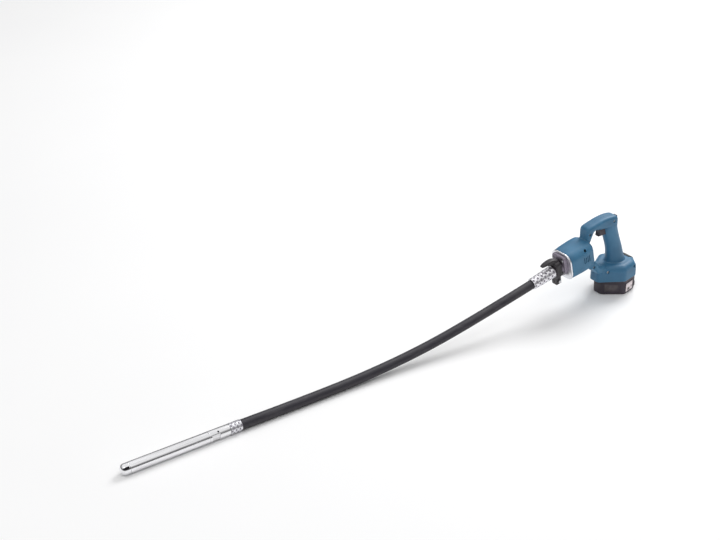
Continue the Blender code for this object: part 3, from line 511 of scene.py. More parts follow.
label_film = label_print()
finish_of_slot = {
    "polished_steel": polished_steel, "brushed_steel": brushed_steel,
    "bright_aluminium": rolled_aluminium, "copper": bare_copper, "cast_metal": cast_metal,
    "black_paint": black_paint, "teal_plastic": teal_plastic, "dark_plastic": dark_plastic,
    "label_film": label_film, "black_rubber": seal_rubber, "carbon": carbon,
    "ferrite": ferrite, "cell_sleeve": cell_sleeve,
}
slot_of_node = {row["node"]: row["material_slot"] for row in frame["record"]["subparts"]}
for node_name, node in frame["nodes"].items():
    node.data.materials.clear()
    node.data.materials.append(finish_of_slot[slot_of_node[node_name]])
print("finished", len(frame["nodes"]), "solid nodes")

# %% [markdown]
# ## Shapes from rings of points
# Nearly every piece here is a skin stretched over rings: a turned part's rings are circles, and the
# casing's are rounded boxes or ovals. So one function joins rings into a closed skin, one eases the
# corners of a profile so that no edge is knife sharp, and one smooths a short table of sections.

# %% Helpers for rings, eased profiles and smooth tables
def skin(rings, loop=False):
    """A closed bmesh over rings of equal length. With loop, the last ring joins the first."""
    shape = bmesh.new()
    loops = [[shape.verts.new(point * MM) for point in ring] for ring in rings]
    pairs = list(zip(loops, loops[1:]))
    if loop:
        pairs.append((loops[-1], loops[0]))
    for near, far in pairs:
        for i in range(len(near)):
            j = (i + 1) % len(near)
            shape.faces.new((near[i], near[j], far[j], far[i]))
    if not loop:
        shape.faces.new(list(reversed(loops[0])))
        shape.faces.new(loops[-1])
    if shape.calc_volume(signed=True) < 0:
        bmesh.ops.reverse_faces(shape, faces=shape.faces)
    return shape


def eased(points, radius, steps=3, loop=False):
    """The same line with each corner turned into a small curve."""
    points = [Vector(point) for point in points]
    line = []
    count = len(points)
    for i, corner in enumerate(points):
        if not loop and i in (0, count - 1):
            line.append(corner)
            continue
        before = points[i - 1] - corner
        after = points[(i + 1) % count] - corner
        reach = min(radius, before.length * 0.48, after.length * 0.48)
        start = corner + before.normalized() * reach
        end = corner + after.normalized() * reach
        for step in range(steps + 1):
            t = step / steps
            line.append(start * (1 - t) ** 2 + corner * 2 * t * (1 - t) + end * t * t)
    return line


def smooth_rows(rows, per_step):
    """More rows along the smooth curve through a short table of numbers."""
    rows = [tuple(float(v) for v in row) for row in rows]
    first = tuple(2 * a - b for a, b in zip(rows[0], rows[1]))
    last = tuple(2 * a - b for a, b in zip(rows[-1], rows[-2]))
    ends = [first] + rows + [last]
    fine = []
    for p, q, r, s in zip(ends, ends[1:], ends[2:], ends[3:]):
        for step in range(per_step):
            t = step / per_step
            row = []
            for a, b, c, d in zip(p, q, r, s):
                turn = (c - a) * t + (2 * a - 5 * b + 4 * c - d) * t * t
                turn += (3 * b - a - 3 * c + d) * t * t * t
                row.append(0.5 * (2 * b + turn))
            fine.append(tuple(row))
    fine.append(rows[-1])
    return fine


def circle(middle, axis, radius, steps=72, across=SIDEWAYS, dent=None):
    """A ring of points round an axis. dent(turn) is added to the radius."""
    upright = axis.cross(across)
    ring = []
    for i in range(steps):
        turn = 2 * pi * i / steps
        reach = radius + (dent(turn) if dent else 0.0)
        ring.append(middle + across * (reach * cos(turn)) + upright * (reach * sin(turn)))
    return ring


def box_outline(half_width, half_height, corner, steps=8):
    """A rounded rectangle as flat points."""
    points = []
    quarter = ((1, 1), (-1, 1), (-1, -1), (1, -1))
    for number, (a, b) in enumerate(quarter):
        for step in range(steps + 1):
            turn = pi / 2 * (number + step / steps)
            x = a * (half_width - corner) + corner * cos(turn)
            points.append(Vector((x, b * (half_height - corner) + corner * sin(turn))))
    return points


def carry(outline, middle, across=SIDEWAYS, upright=UPWARDS):
    """Stands a flat outline in space, square to the motor's line unless told otherwise."""
    return [middle + across * point.x + upright * point.y for point in outline]


print("ring helpers ready")

# %% [markdown]
# ## Working on solids
# Holes and joins are Booleans that are settled at once, because later steps remesh the result. The
# quick manifold solver is used, as every skin here is closed. A voxel remesh followed by a little
# smoothing turns a join of several forms into one moulding with soft fillets, which is how a real
# casing or casting looks where its parts run into each other.

# %% Helpers for solids
PIP = 0.02  # a turned end closes in a ring this small


def solid(name, shape):
    mesh = bpy.data.meshes.new(name)
    shape.to_mesh(mesh)
    shape.free()
    return put_in_scene(name, mesh)


def settle(thing):
    """Makes what the modifiers give the object's own mesh."""
    graph = bpy.context.evaluated_depsgraph_get()
    mesh = bpy.data.meshes.new_from_object(thing.evaluated_get(graph))
    thing.modifiers.clear()
    old = thing.data
    thing.data = mesh
    bpy.data.meshes.remove(old)
    return thing


def work(thing, tool, operation="DIFFERENCE"):
    """Cuts the tool from the solid, or joins it, and removes the tool."""
    step = thing.modifiers.new("work", "BOOLEAN")
    step.operation = operation
    step.solver = "MANIFOLD"
    step.object = tool
    settle(thing)
    bpy.data.objects.remove(tool)
    return thing


def moulding(thing, voxel, rounds):
    """One continuous skin over all of a solid's forms, with soft edges."""
    remesh = thing.modifiers.new("skin", "REMESH")
    remesh.mode = "VOXEL"
    remesh.voxel_size = voxel * MM
    smooth = thing.modifiers.new("ease", "SMOOTH")
    smooth.factor = 0.5
    smooth.iterations = rounds
    return settle(thing)


def bar(name, start, end, radius, steps=32):
    """A round bar between two points."""
    start, end = Vector(start), Vector(end)
    axis = (end - start).normalized()
    across = axis.orthogonal().normalized()
    return solid(name, skin([circle(at, axis, radius, steps, across) for at in (start, end)]))


def brick(name, middle, half, along=LENGTHWAYS, across=SIDEWAYS, upright=UPRIGHT, corner=0.5):
    """A box with rounded long edges, half as long, wide and high as its three numbers."""
    outline = box_outline(half[1], half[2], min(corner, half[1] * 0.9, half[2] * 0.9), 4)
    ends = [Vector(middle) + along * (half[0] * side) for side in (-1, 1)]
    return solid(name, skin([carry(outline, end, across, upright) for end in ends]))


def turning(
    name, profile, origin, axis, ease=0.3, steps=72, across=SIDEWAYS, curve=3, bored=False
):
    """A turned solid. The profile is (distance along the axis, radius) from end to end, or a
    closed loop of them for a piece that is bored through."""
    rings = []
    for along, radius in eased(profile, ease, curve, bored):
        rings.append(circle(origin + axis * along, axis, max(radius, PIP), steps, across))
    return solid(name, skin(rings, bored))


def grooves(thing, middles, half):
    """Fine grooves cut across a moulding."""
    for middle in middles:
        work(thing, brick("groove", middle, half, corner=0.3))


def show(thing, name, node_name, body="power_unit", finish=None, sharp=38):
    """Names a finished piece, gives it its surface and lets it ride on its body."""
    thing.name = name
    slot = slot_of_node[node_name]
    thing.data.materials.clear()
    thing.data.materials.append(finish or finish_of_slot[slot])
    if thing.type == "MESH":
        thing.data.shade_smooth()
        thing.data.set_sharp_from_angle(angle=radians(sharp))
        print(f"{name}: {len(thing.data.polygons)} faces")
    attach(thing, body)
    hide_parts(node_name)


print("solid helpers ready")

# %% [markdown]
# ## The hose
# The hose is stiff: it leaves the rear ferrule in line with the motor, falls in one long sweep and
# lies on the ground before it enters the head's ferrule. A round curve is enough for it. Its points
# are those of the solid model's hose.

# %% The hose
HOSE_ROUTE = [
    drive(-76), drive(-100), (-307, 0, 80.0), (-380, 0, 64.5), (-449, 0, 50.5),
    (-520, 0, 37.5), (-585, 0, 28.0), (-650, 0, 21.0), (-718, 0, 16.0), (-780, 0, 13.2),
    (-845, 0, 12.0), (-905, 0, 11.6), (-968, 0, 11.7), (-1020, 0, 12.2), (-1059, 0, 12.5),
    (-1081, 0, 12.5),
]
HOSE_RADIUS = 11.0

hose_points = [Vector(row) * MM for row in smooth_rows(HOSE_ROUTE, 6)]
curve = bpy.data.curves.new("hose", "CURVE")
curve.dimensions = "3D"
curve.bevel_depth = HOSE_RADIUS * MM
curve.bevel_resolution = 10
curve.use_fill_caps = True
spline = curve.splines.new("POLY")
spline.points.add(len(hose_points) - 1)
for spot, point in zip(spline.points, hose_points):
    spot.co = (*point, 1.0)
hose = put_in_scene("hose", curve)
show(hose, "hose", "hose_cover", finish=rubber)
drive(-100) * MM

# %% [markdown]
# ## The poker head
# The head is a steel tube closed by a bullet nose and screwed to a neck with spanner flats. Each is
# turned, so each is one profile. The nose has a deep slot on both sides for the tool that screws it
# in, the tube's ends are broken with a small chamfer, and the neck has two flats for a wrench and a
# hole for a pin spanner beside them.

# %% The nose, the tube and the neck
nose_line = [(0, 0), (0, 3)]
for step in range(1, 13):
    turn = pi / 2 * step / 12
    nose_line.append((11.2 * (1 - cos(turn)), 3.0 + 9.5 * sin(turn)))
nose_line += [(17.9, 12.5), (18.1, 12.1), (18.2, 9.7), (31.0, 9.7), (31.0, 0)]
nose = turning("nose", nose_line, HEAD_TIP, LENGTHWAYS, 0.25, 96)
for side in (-1, 1):
    level = HEAD_TIP + SLOT_MIDDLE * side
    reach = level + LENGTHWAYS * SLOT_LENGTH
    work(nose, bar("slot_tool", level - LENGTHWAYS * 3, reach, SLOT_RADIUS))
show(nose, "poker_nose", "head_tip", finish=nose_steel)

tube_line = [(18.4, 10), (18.4, 12.1), (18.8, 12.5), (200.5, 12.5), (201, 12), (201, 10)]
head_tube = turning("tube", tube_line, HEAD_TIP, LENGTHWAYS, 0.2, 96, bored=True)
show(head_tube, "poker_tube", "head_tube")

neck_line = [
    (187, 5), (187, 9.7), (201.3, 9.7), (201.3, 11.9), (201.9, 12.5), (249.6, 12.5),
    (251, 11.2), (251, 8.6), (256, 8.6), (256, 6.1), (269, 6.1), (269, 5),
]
neck = turning("neck", neck_line, HEAD_TIP, LENGTHWAYS, 0.25, 96, bored=True)
for side in (-1, 1):
    middle = HEAD_TIP + Vector(((FLAT_START + FLAT_END) / 2, side * 15.0, 0))
    half_flat = ((FLAT_END - FLAT_START) / 2, 5.0, 20.0)
    work(neck, brick("flat_tool", middle, half_flat, corner=0.8))
level = HEAD_TIP + LENGTHWAYS * (FLAT_END - 3)
work(neck, bar("spanner_hole", level + HOLE_WAY * 8.5, level + HOLE_WAY * 16, HOLE_RADIUS))
show(neck, "poker_neck", "head_connector", finish=neck_steel)

# %% [markdown]
# ## Crimped ferrules
# Each end of the hose is held by an aluminium sleeve that a press has squeezed. The jaws leave rows
# of dents, and each row is turned by half a jaw against the last, so that the dents make a chequer.
# The sleeve is a skin over many rings whose radius follows one wave along it and one round it.

# %% The two ferrules
def crimped(name, crimp, outer_start, outer_end, bore, origin, axis):
    """A sleeve whose radius dips in a chequer of dents."""
    start, end = crimp["start"], crimp["end"]
    count = int((end - start) / 0.5)
    rings = [circle(origin + axis * start, axis, bore, 120)]
    for i in range(count + 1):
        along = start + (end - start) * i / count
        inward = min(along - start, end - along)
        outer = outer_start + (outer_end - outer_start) * i / count
        outer -= 0.7 * max(0.0, 1.0 - inward / 0.9) ** 2
        wave = sin(2 * pi * (along - start) / crimp["pitch"])
        depth = crimp["depth"] * min(1.0, inward / 2.0)

        def dent(turn):
            return -depth * max(0.0, wave * cos(JAWS * turn)) ** 0.6

        rings.append(circle(origin + axis * along, axis, outer, 120, dent=dent))
    rings.append(circle(origin + axis * end, axis, bore, 120))
    return solid(name, skin(rings, loop=True))


front_sleeve = crimped("sleeve", FRONT_CRIMP, 12.3, 12.5, 11.35, HEAD_TIP, LENGTHWAYS)
show(front_sleeve, "front_ferrule_crimps", "front_ferrule", finish=front_crimped)
rear_sleeve = crimped("sleeve", REAR_CRIMP, 13.6, 15.1, 11.4, FLANGE, REARWARDS)
show(rear_sleeve, "rear_ferrule_crimps", "rear_ferrule", finish=rear_crimped)

# %% [markdown]
# ## The flange and the bearing box
# A bright ring of machined aluminium closes the front of the barrel. The dark casting in front of
# it holds the spindle's two bearings: flat and square above, round below, with a short neck. The
# casting is a join of simple forms, remeshed so that the neck flows into the face with a fillet.

# %% The flange ring
def plate(name, outline, rows, up):
    """A plate across the motor's line. Each row is a distance and the outline's size there."""
    return solid(name, skin([carry([p * size for p in outline], drive(s, up)) for s, size in rows]))


flange_outline = box_outline(33.0, 34.5, 20.5, 16)
flange_rows = [(-4, 0.975), (-3.4, 0.995), (-2.9, 1), (-1.1, 1), (-0.6, 0.995), (-0.05, 0.975)]
flange = plate("flange", flange_outline, flange_rows, 2.0)
work(flange, bar("flange_bore", drive(-9), drive(5), 22.3, 72))
show(flange, "flange_plate", "flange_ring")

# %% The bearing box
BOX_SCREWS = [(-15.8, -9.0), (15.8, -9.0), (15.8, 24.0), (-15.8, 24.0)]
BOX_ROWS = [(-13, 19.5, 30), (-12, 21, 31.5), (-10.5, 22, 32.5), (-4.4, 22, 32.5)]
BOX_NECK = [(-34.5, 0), (-34.5, 12), (-9, 12), (-9, 0)]
BOX_SHOULDER = [(-15.5, 0), (-15.5, 13.8), (-13, 16.8), (-9, 16.8), (-9, 0)]
SPINDLE_BORE = [
    (-38, 0), (-38, 7), (-27, 7), (-27, 9.8), (-10.5, 9.8), (-10.5, 13.8), (6, 13.8), (6, 0),
]


def box_section(s, half_width, top, corner=7.0):
    """Round below and square above, as a ring at distance s."""
    outline = []
    for step in range(33):
        turn = pi + pi * step / 32
        outline.append(Vector((half_width * cos(turn), half_width * sin(turn))))
    for side, start in ((1, 0.0), (-1, pi / 2)):
        for step in range(9):
            turn = start + pi / 2 * step / 8
            x = side * (half_width - corner) + corner * cos(turn)
            outline.append(Vector((x, top - corner + corner * sin(turn))))
    return carry(outline, drive(s))


casting = solid("casting", skin([box_section(*row) for row in BOX_ROWS]))
work(casting, turning("box_neck", BOX_NECK, FLANGE, REARWARDS, 0.6), "UNION")
work(casting, turning("box_shoulder", BOX_SHOULDER, FLANGE, REARWARDS, 0.5), "UNION")
work(casting, bar("box_spigot", drive(-6), drive(4), 21.8, 64), "UNION")
for side, up in BOX_SCREWS:
    work(casting, bar("box_pad", drive(-13.15, up, side), drive(-8, up, side), 4.4), "UNION")
moulding(casting, 0.75, 4)
work(casting, turning("box_bore", SPINDLE_BORE, FLANGE, REARWARDS, 0.05))
show(casting, "bearing_housing", "bearing_box", sharp=50)

# %% [markdown]
# ## The hook clamp
# A black clamp grips the neck of the casting. A tongue rises from it and reaches forward over the
# ferrule, so that the unit can hang from a rail, and a split ear with a cross bolt closes it below.
# It is forged, so its forms are joined, remeshed and eased before the bore and the split are cut.

# %% The hook clamp
PLATE_ROWS = [(-33, 0.93), (-32.4, 0.98), (-31.6, 1), (-18.9, 1), (-18.1, 0.98), (-17.5, 0.93)]
TONGUE = [  # distance on the motor's line, height above it, half width, half height
    (-19, 21, 8.5, 6), (-30, 27, 8.5, 6), (-42, 30, 8, 4.6), (-54, 30.5, 7, 3.2),
    (-62, 29.8, 5.5, 2), (-65, 29.5, 4, 1.4),
]
ON_DRIVE = (REARWARDS, SIDEWAYS, UPWARDS)


def bolt_line(side):
    return drive(-25.2, -29.0, side)


clamp = plate("clamp", box_outline(15.5, 21.0, 8.0), PLATE_ROWS, 3.0)
tongue_rings = []
for s, up, half_width, half_height in smooth_rows(TONGUE, 5):
    outline = box_outline(half_width, half_height, half_height * 0.8, 5)
    tongue_rings.append(carry(outline, drive(s, up)))
work(clamp, solid("tongue", skin(tongue_rings)), "UNION")
work(clamp, brick("ear", drive(-25.2, -25.5), (7.3, 8.5, 12.5), *ON_DRIVE, 2.2), "UNION")
moulding(clamp, 0.7, 5)
work(clamp, bar("clamp_bore", drive(-37), drive(-15), 12.3, 64))
work(clamp, brick("split", drive(-25, -27), (12.0, 1.0, 18.0), *ON_DRIVE, 0.3))
work(clamp, bar("bolt_hole", bolt_line(-14), bolt_line(14), 2.1))
show(clamp, "clamp_and_hook", "hook_clamp", sharp=50)

# %% [markdown]
# ## Screws
# The bearing box has socket screws, the clamp a hexagon bolt, and the casing is held by cross-head
# screws sunk in deep recesses. A screw is a short turned solid, and its socket is cut from it with
# a hexagonal bar or with two crossed bricks.

# %% Socket screws, the clamp's bolt and the casing's screws
def screw(name, seat, outwards, radius, height, shank_radius, length):
    """A screw whose head stands on its seat. With no length it is a head with a hexagon."""
    line = [(0, 0), (0, radius), (height - 0.3, radius), (height, radius - 0.35), (height, 0)]
    if length:
        line[:1] = [(-length, 0), (-length, shank_radius), (0, shank_radius)]
    across = outwards.orthogonal().normalized()
    upright = outwards.cross(across)
    thing = turning(name, line, seat, outwards, 0.12, 32, across, 2)
    top = seat + outwards * height
    if not length:
        return work(thing, bar("key", top - outwards * 1.5, top + outwards * 2, radius / 2, 6))
    half_blade = (radius * 0.6, 0.45, 1.8)
    for one, other in ((across, upright), (upright, across)):
        work(thing, brick("driver", top + outwards * 0.6, half_blade, one, other, outwards, 0.2))
    return thing


for i, (side, up) in enumerate(BOX_SCREWS):
    name = f"bearing_box_screw_{i + 1}"
    head = screw("screw", drive(-13.35, up, side), -REARWARDS, 2.8, 2.8, 0, 0)
    show(head, f"{name}_head", name)

bolt = bar("bolt", bolt_line(-11), bolt_line(8), 1.8)
work(bolt, bar("bolt_head", bolt_line(-12.6), bolt_line(-9.3), 3.6, 6), "UNION")
show(bolt, "clamp_bolt", "clamp_screw")

UPPER = drive(45, 28)
LOWER = drive(24, -28)
CASING_SCREWS = [  # place along the tool, height, distance of the casing's side
    (-97.0, 175.0, 13.0), (-22.0, 190.0, 15.0), (UPPER.x, UPPER.z, 26.0),
    (LOWER.x, LOWER.z, 22.0), (-82.0, 88.0, 19.0), (-38.0, 63.0, 25.0), (35.0, 63.0, 35.5),
]
for i, (x, z, reach) in enumerate(CASING_SCREWS):
    name = f"housing_screw_{i + 1}"
    seat = Vector((x, 2.7 - reach, z))
    thing = screw("screw", seat, -SIDEWAYS, 3.2, 2.3, 1.6, reach * 1.5 - 2.7)
    show(thing, f"{name}_cross_head", name)

# %% [markdown]
# ## The casing
# The casing is two mouldings that meet on the middle plane. Its outer form is a join of five: the
# barrel round the motor, the bridge over the fingers, the web under the barrel, the grip, and the
# foot that takes the battery. Each is a smooth loft through a short table of sections. Remeshing
# the join gives it the soft inside corners of a real moulding. The hollow is the same set of forms,
# three millimetres smaller, and both halves are trimmed to leave a hairline parting gap.

# %% The casing's sections
WALL = 3.0
BARREL_LIFT = 2.0
LEG_FRONT = -100.0
BARREL = [  # distance on the motor's line, half width, half height, corner
    (0.3, 31.5, 33, 19.5), (5, 33.5, 33.8, 20), (28, 35, 34.2, 20), (50, 35, 34.5, 20),
    (64, 33, 33.5, 18), (71, 29, 30, 16), (74, 24, 25.5, 14),
]
BRIDGE = [  # place along the tool, bottom, top, half width
    (-104, 150, 187, 13), (-101, 150, 191, 15), (-96, 151, 193, 15.3),
    (-91, 163, 194.4, 15.5), (-86, 174, 195.6, 15.5), (-80, 179, 196.8, 15.8),
    (-70, 179, 199, 16), (-60, 177, 201, 16.2), (-42, 176, 203, 16.5),
    (-22, 172, 202.5, 16.5), (-11, 170, 200, 15.5), (-7.5, 174, 195, 13),
]
WEB = [  # the same four numbers as the bridge
    (-112, 92, 104, 14), (-92, 85, 106, 20), (-76, 77, 100, 22), (-62, 62, 84, 22),
    (-40, 60, 78, 20),
]
GRIP = [  # place along the tool, height, half length, half width
    (-26, 192, 17, 13), (-24.5, 181, 22.5, 16.3), (-20.5, 165, 22.3, 16.5),
    (-14, 145, 22, 16.5), (-3, 115, 22.5, 17), (3, 90, 25, 18.5),
    (6, 74, 28, 22), (7, 62, 32, 26),
]
FOOT = [(36.3, 1.0), (60, 0.99), (67, 0.955), (72.5, 0.88), (76, 0.74)]  # height, size
FOOT_CORNERS = ((-60, 13.5), (-2, 49), (43.5, 38.3), (58.5, 15))
BATTERY_CORNERS = ((-47, 13), (1, 47.5), (45, 36.5), (56, 14))
PLAN_RADII = (12, 11, 10, 10)
PLAN_MIDDLE = Vector((1, 0))


def plan(half_corners, size, z, steps=6):
    """A horizontal outline of eight rounded corners, scaled about its middle."""
    corners = [(x, -y) for x, y in half_corners] + list(reversed(half_corners))
    radii = PLAN_RADII + PLAN_RADII[::-1]
    ring = []
    for i, (corner, radius) in enumerate(zip(corners, radii)):
        corner = Vector(corner)
        back = (Vector(corners[i - 1]) - corner).normalized()
        on = (Vector(corners[(i + 1) % 8]) - corner).normalized()
        half = back.angle(on) / 2
        middle = corner + (back + on).normalized() * radius / sin(half)
        first = corner + back * radius / math.tan(half) - middle
        last = corner + on * radius / math.tan(half) - middle
        swing = last.angle_signed(first)
        for step in range(steps + 1):
            point = middle + Matrix.Rotation(swing * step / steps, 2) @ first
            point = PLAN_MIDDLE + (point - PLAN_MIDDLE) * size
            ring.append(Vector((point.x, point.y, z)))
    return ring


print("casing tables:", len(BARREL) + len(BRIDGE) + len(GRIP) + len(WEB) + len(FOOT), "stations")

# %% The casing's forms, whole or hollow
def casing_forms(inset, fine):
    """The five forms as bmeshes. An inset makes them the space inside the wall."""
    hollow = inset > 0
    rings = []
    for s, half_width, half_height, corner in smooth_rows(BARREL, fine):
        at = -5 if hollow and s <= BARREL[0][0] else min(s, BARREL[-1][0] - inset)
        outline = box_outline(half_width - inset, half_height - inset, corner - inset)
        rings.append(carry(outline, drive(at, BARREL_LIFT)))
    if hollow:
        rings = rings[: -2 * fine] + rings[-1:]
    forms = [skin(rings)]
    for rows in (BRIDGE, WEB):
        rings = []
        for x, low, high, half_width in smooth_rows(rows, fine):
            half_height = (high - low) / 2 - inset
            corner = min(7.0 - inset / 2, half_height * 0.9)
            outline = box_outline(half_width - inset, half_height, corner)
            at = x - 0.7 * inset if rows is BRIDGE and x > LEG_FRONT else x
            rings.append(carry(outline, Vector((at, 0, (low + high) / 2)), SIDEWAYS, UPRIGHT))
        if hollow and rows is BRIDGE:
            rings = rings[fine:-fine]
        forms.append(skin(rings))
    rings = []
    for x, z, length, width in smooth_rows(GRIP, fine):
        turns = [2 * pi * i / 48 for i in range(48)]
        oval = [Vector(((length - inset) * cos(t), (width - inset) * sin(t))) for t in turns]
        rings.append(carry(oval, Vector((x, 0, z)), LENGTHWAYS, SIDEWAYS))
    forms.append(skin(rings))
    rings = []
    for z, size in smooth_rows(FOOT, 1 if hollow else 3):
        level = 30 if hollow and z == FOOT[0][0] else z - inset
        rings.append(plan(FOOT_CORNERS, size - inset / 49, level))
    forms.append(skin(rings))
    return forms


whole = bmesh.new()
for form in casing_forms(0.0, 5):
    mesh = bpy.data.meshes.new("form")
    form.to_mesh(mesh)
    form.free()
    whole.from_mesh(mesh)
    bpy.data.meshes.remove(mesh)
casing = moulding(solid("casing", whole), 1.25, 9)
for form in casing_forms(WALL, 2):
    work(casing, solid("hollow", form))
print("casing moulding:", len(casing.data.polygons), "faces")

# %% The band on the foot's rear edge
FOOT_BUMPER = [(59, 56.2, 58.4), (67, 54.4, 57.6), (72.5, 49, 53.4), (75, 42.5, 49), (77, 40, 44.6)]


def foot_band(name, grow=0.0, reach=0.0):
    """A band that follows the foot's rear edge. It can grow into the seat that is cut for it."""
    rings = []
    rows = smooth_rows(FOOT_BUMPER, 4)
    for i, (z, inner, outer) in enumerate(rows):
        end = 0.5 if i in (0, len(rows) - 1) and not reach else 0.0
        half = (outer + reach - inner + grow - end) / 2
        outline = box_outline(half, 13.0 + grow - end, 0.9, 4)
        level = z + (grow if i == len(rows) - 1 else -grow if i == 0 else 0.0)
        rings.append(carry(outline, Vector((inner - grow + half, 0, level)), LENGTHWAYS, SIDEWAYS))
    return solid(name, skin(rings))


work(casing, foot_band("foot_seat", 0.3, 5.0))
foot_pad = foot_band("foot_pad")
pad_lines = [(58.9, 0, 61.5), (58.6, 0, 64.0), (58.2, 0, 66.5)]
grooves(foot_pad, pad_lines, (0.8, 10.5, 0.45))
show(foot_pad, "foot_bumper_pad", "foot_bumper")

# %% Openings for the trigger, the buttons, the screws and the air
LOCK_BUTTON = Vector((-44.0, 0.0, 188.3))
work(casing, brick("trigger_slot", (-38.5, 0, 165.7), (11.5, 7.4, 9.6), corner=1.5))
work(casing, bar("button_hole", LOCK_BUTTON + SIDEWAYS * 10, LOCK_BUTTON + SIDEWAYS * 20, 4.0))
work(casing, brick("bumper_seat", (-2.6, 0, 190.5), (7.7, 6.3, 6.8), corner=1.5))
for x, z, reach in CASING_SCREWS:
    floor_of_recess = (x, 3.2 - reach, z)
    work(casing, bar("recess", (x, -60, z), floor_of_recess, 3.6))
    boss = bar("boss", floor_of_recess, (x, -0.3, z), 4.2)
    work(boss, bar("pilot", (x, -60, z), (x, 0, z), 1.9))
    work(casing, boss, "UNION")
for side in (-1, 1):
    for number in range(4):
        middle = drive(37.0 + 5.2 * number, 5.0, 34.0 * side)
        work(casing, brick("vent", middle, (1.15, 4.5, 8.5), *ON_DRIVE, 1.1))
print("casing with its openings:", len(casing.data.polygons), "faces")

# %% The two halves
PARTING_GAP = 0.15
for hand, side in (("left", -1), ("right", 1)):
    half = put_in_scene("half", casing.data.copy())
    other_half = (-90, (PARTING_GAP - 100) * side, 110)
    work(half, brick("trim", other_half, (250, 100, 250), corner=0.01))
    show(half, f"casing_{hand}", f"housing_{hand}", sharp=42)
bpy.data.objects.remove(casing)

# %% [markdown]
# ## The handle's small mouldings
# The trigger is a dark block with a dished front for one finger and fine grip lines across it. The
# lock button is a short pin with a turned rim. A rubber bumper guards the top of the handle where
# it meets the ground when the unit is laid down.

# %% The trigger, the lock button and the bumper
FINGER = 165.5
trigger = brick("trigger", (-45.5, 0, 165.75), (14.5, 7.0, 9.25), corner=2.6)
moulding(trigger, 0.5, 4)
work(trigger, bar("dish", (-76.2, -12, FINGER), (-76.2, 12, FINGER), 18.5, 96))
grooves(trigger, [(-58.6, 0, 160.2 + 2.6 * i) for i in range(5)], (1.4, 5.2, 0.35))
work(trigger, bar("plunger", (-33, 0, FINGER), (-16, 0, FINGER), 2.5), "UNION")
show(trigger, "trigger_lever", "trigger", "trigger_body")

button_line = [
    (11.4, 0), (11.4, 4.9), (12.9, 4.9), (12.9, 3.7), (18.3, 3.7),
    (18.9, 3.1), (18.9, 2.0), (18.5, 1.8), (18.4, 0),
]
button = turning("button", button_line, LOCK_BUTTON, SIDEWAYS, 0.2, 48, LENGTHWAYS)
show(button, "lock_button_cap", "lock_button", "lock_button_body")

bumper = brick("bumper", (-6.25, 0, 190.5), (3.75, 6.0, 6.5), corner=2.0)
moulding(bumper, 0.5, 5)
grooves(bumper, [(-2.3, 0, 187.5 + 3.0 * i) for i in range(3)], (0.7, 7.0, 0.4))
show(bumper, "handle_bumper", "rear_bumper")

# %% [markdown]
# ## The battery
# The pack is a dark tub, a little smaller than the foot above it. A shallow waist runs round it so
# that fingers find the release buttons, a shallow panel is sunk in each front face, and its lower
# edge is rounded. The tub is a stack of plan outlines, hollowed, with the panels cut from it.

# %% The battery's tub
def side_of_battery(x):
    (x0, y0), (x1, y1) = BATTERY_CORNERS[1], BATTERY_CORNERS[2]
    return y0 + (y1 - y0) * (x - x0) / (x1 - x0)


BUTTON_X = 37.5
BUTTON_Z = 16.5
TUB_INSIDE = 0.91
TUB_FOOT = [(0.0, 0.935), (0.5, 0.952), (1.6, 0.963), (6.0, 0.972), (29.0, 0.98)]
TUB_WAIST = [(30.0, 0.97), (31.6, 0.97), (32.6, 0.981), (35.7, 0.982), (36.0, 0.975)]
FACE_WAY = Vector((48.0, 34.5, 0)).normalized()

tub = solid("tub", skin([plan(BATTERY_CORNERS, size, z) for z, size in TUB_FOOT + TUB_WAIST]))
work(tub, solid("inside", skin([plan(BATTERY_CORNERS, TUB_INSIDE, z) for z in (2.5, 41)])))
for side in (-1, 1):
    middle = (BUTTON_X, 38.0 * side, BUTTON_Z)
    half_hole = (7.0, 4.4, 7.4)
    work(tub, brick("button_hole", middle, half_hole, SIDEWAYS, LENGTHWAYS, UPRIGHT, 2.9))
    along = Vector((FACE_WAY.x, FACE_WAY.y * side, 0))
    outwards = Vector((-FACE_WAY.y, FACE_WAY.x * side, 0))
    middle = Vector((-23.5, 29.3 * side, 17.0)) - outwards * 0.45
    work(tub, brick("face_panel", middle, (16.5, 1.3, 8.5), along, outwards, UPRIGHT, 1.2))
show(tub, "battery_tub", "battery_case", "battery_pack", sharp=30)

# %% The release buttons and the label
BUTTON_ROOT = 34.5


def on_side(outline, x, z, size, side, lift, root=0.0, share=1.0):
    """An outline laid on the battery's side, or only a share of the way out from its root."""
    ring = []
    for point in outline:
        along = x + point.x * size
        y = root + (side_of_battery(along) + lift - root) * share
        ring.append(Vector((along, y * side, z + point.y * size)))
    return ring


press_outline = box_outline(4.0, 7.0, 2.5, 5)
for name, side in (("release_button_left", -1), ("release_button_right", 1)):
    rings = []
    for share, size in ((0.0, 1.0), (0.72, 1.0), (0.9, 0.96), (1.0, 0.86)):
        place = (BUTTON_X, BUTTON_Z, size, side)
        rings.append(on_side(press_outline, *place, 1.4, BUTTON_ROOT, share))
    press = solid(name, skin(rings))
    press_lines = [(x, (side_of_battery(x) + 1.6) * side, BUTTON_Z) for x in (35.3, 37.5, 39.7)]
    grooves(press, press_lines, (0.45, 0.7, 5.0))
    show(press, f"{name}_press", name, f"{name}_body")

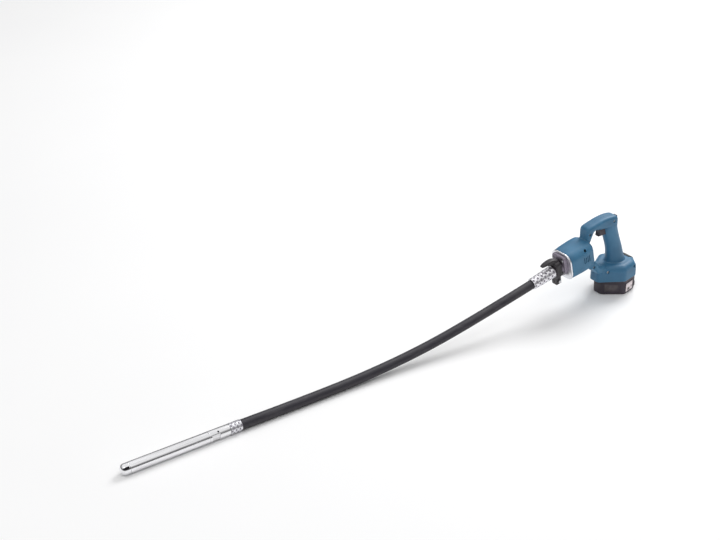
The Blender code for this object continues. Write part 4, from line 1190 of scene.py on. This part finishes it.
LABEL_X = 18.0
LABEL_Z = 17.0
film = box_outline(14.0, 10.3, 1.6, 6)
film_rows = ((0.12, 1.0), (0.5, 1.0), (0.58, 0.985))
rings = [on_side(film, LABEL_X, LABEL_Z, size, -1, lift) for lift, size in film_rows]
show(solid("label", skin(rings)), "blank_label", "battery_label", "battery_pack")

# %% [markdown]
# ## Light and floor
# The tool lies on plain white ground. A big soft light stands above it at its rear, so that shadows
# fall forwards along the hose and stay faint, and a weaker panel on the other side rounds the teal
# casing. Overhead the room is white, but its walls are dim, because chrome between white floor and
# white walls would have no outline: the dim walls draw a thin dark edge along the head.

# %% The studio
def panel(name, place, aim, size, power):
    light = bpy.data.lights.new(name, "AREA")
    light.shape = "DISK"
    light.size = size
    light.energy = power
    thing = put_in_scene(name, light)
    thing.location = place
    thing.rotation_euler = (Vector(aim) - Vector(place)).to_track_quat("-Z", "Y").to_euler()


panel("key_panel", (2.3, 1.1, 2.7), (-0.3, 0.0, 0.0), 2.0, 92.0)
panel("side_panel", (-2.6, -1.2, 2.4), (-0.4, 0.0, 0.1), 1.6, 15.0)
world = bpy.data.worlds.new("pale_room")
bpy.context.scene.world = world
world.use_nodes = True
room = Graph(world.node_tree)
direction = room.node("ShaderNodeTexCoord").outputs["Generated"]
height = room.node("ShaderNodeSeparateXYZ", {}, [direction]).outputs["Z"]
brightness = room.node(
    "ShaderNodeMapRange",
    {"interpolation_type": "SMOOTHSTEP"},
    {"Value": height, "From Min": 0.3, "From Max": 0.72, "To Min": 0.15, "To Max": 0.89},
)
background = room.tree.nodes["Background"].inputs
room.feed(background["Strength"], brightness.outputs["Result"])
room.feed(background["Color"], (1.0, 1.0, 1.0))

floor_finish = Finish("pale_floor")
cloud = floor_finish.noise(1.2, 3.0)
floor_finish.set(
    base_color=floor_finish.blend(cloud, (0.9, 0.9, 0.905), (0.94, 0.94, 0.94)),
    roughness=0.7 + 0.1 * cloud,
)
floor_shape = bmesh.new()
bmesh.ops.create_grid(floor_shape, x_segments=8, y_segments=8, size=9.0)
floor = solid("floor", floor_shape)
floor.data.materials.append(floor_finish.material)
bpy.context.scene.view_settings.view_transform = "Standard"
print("lights and floor ready")
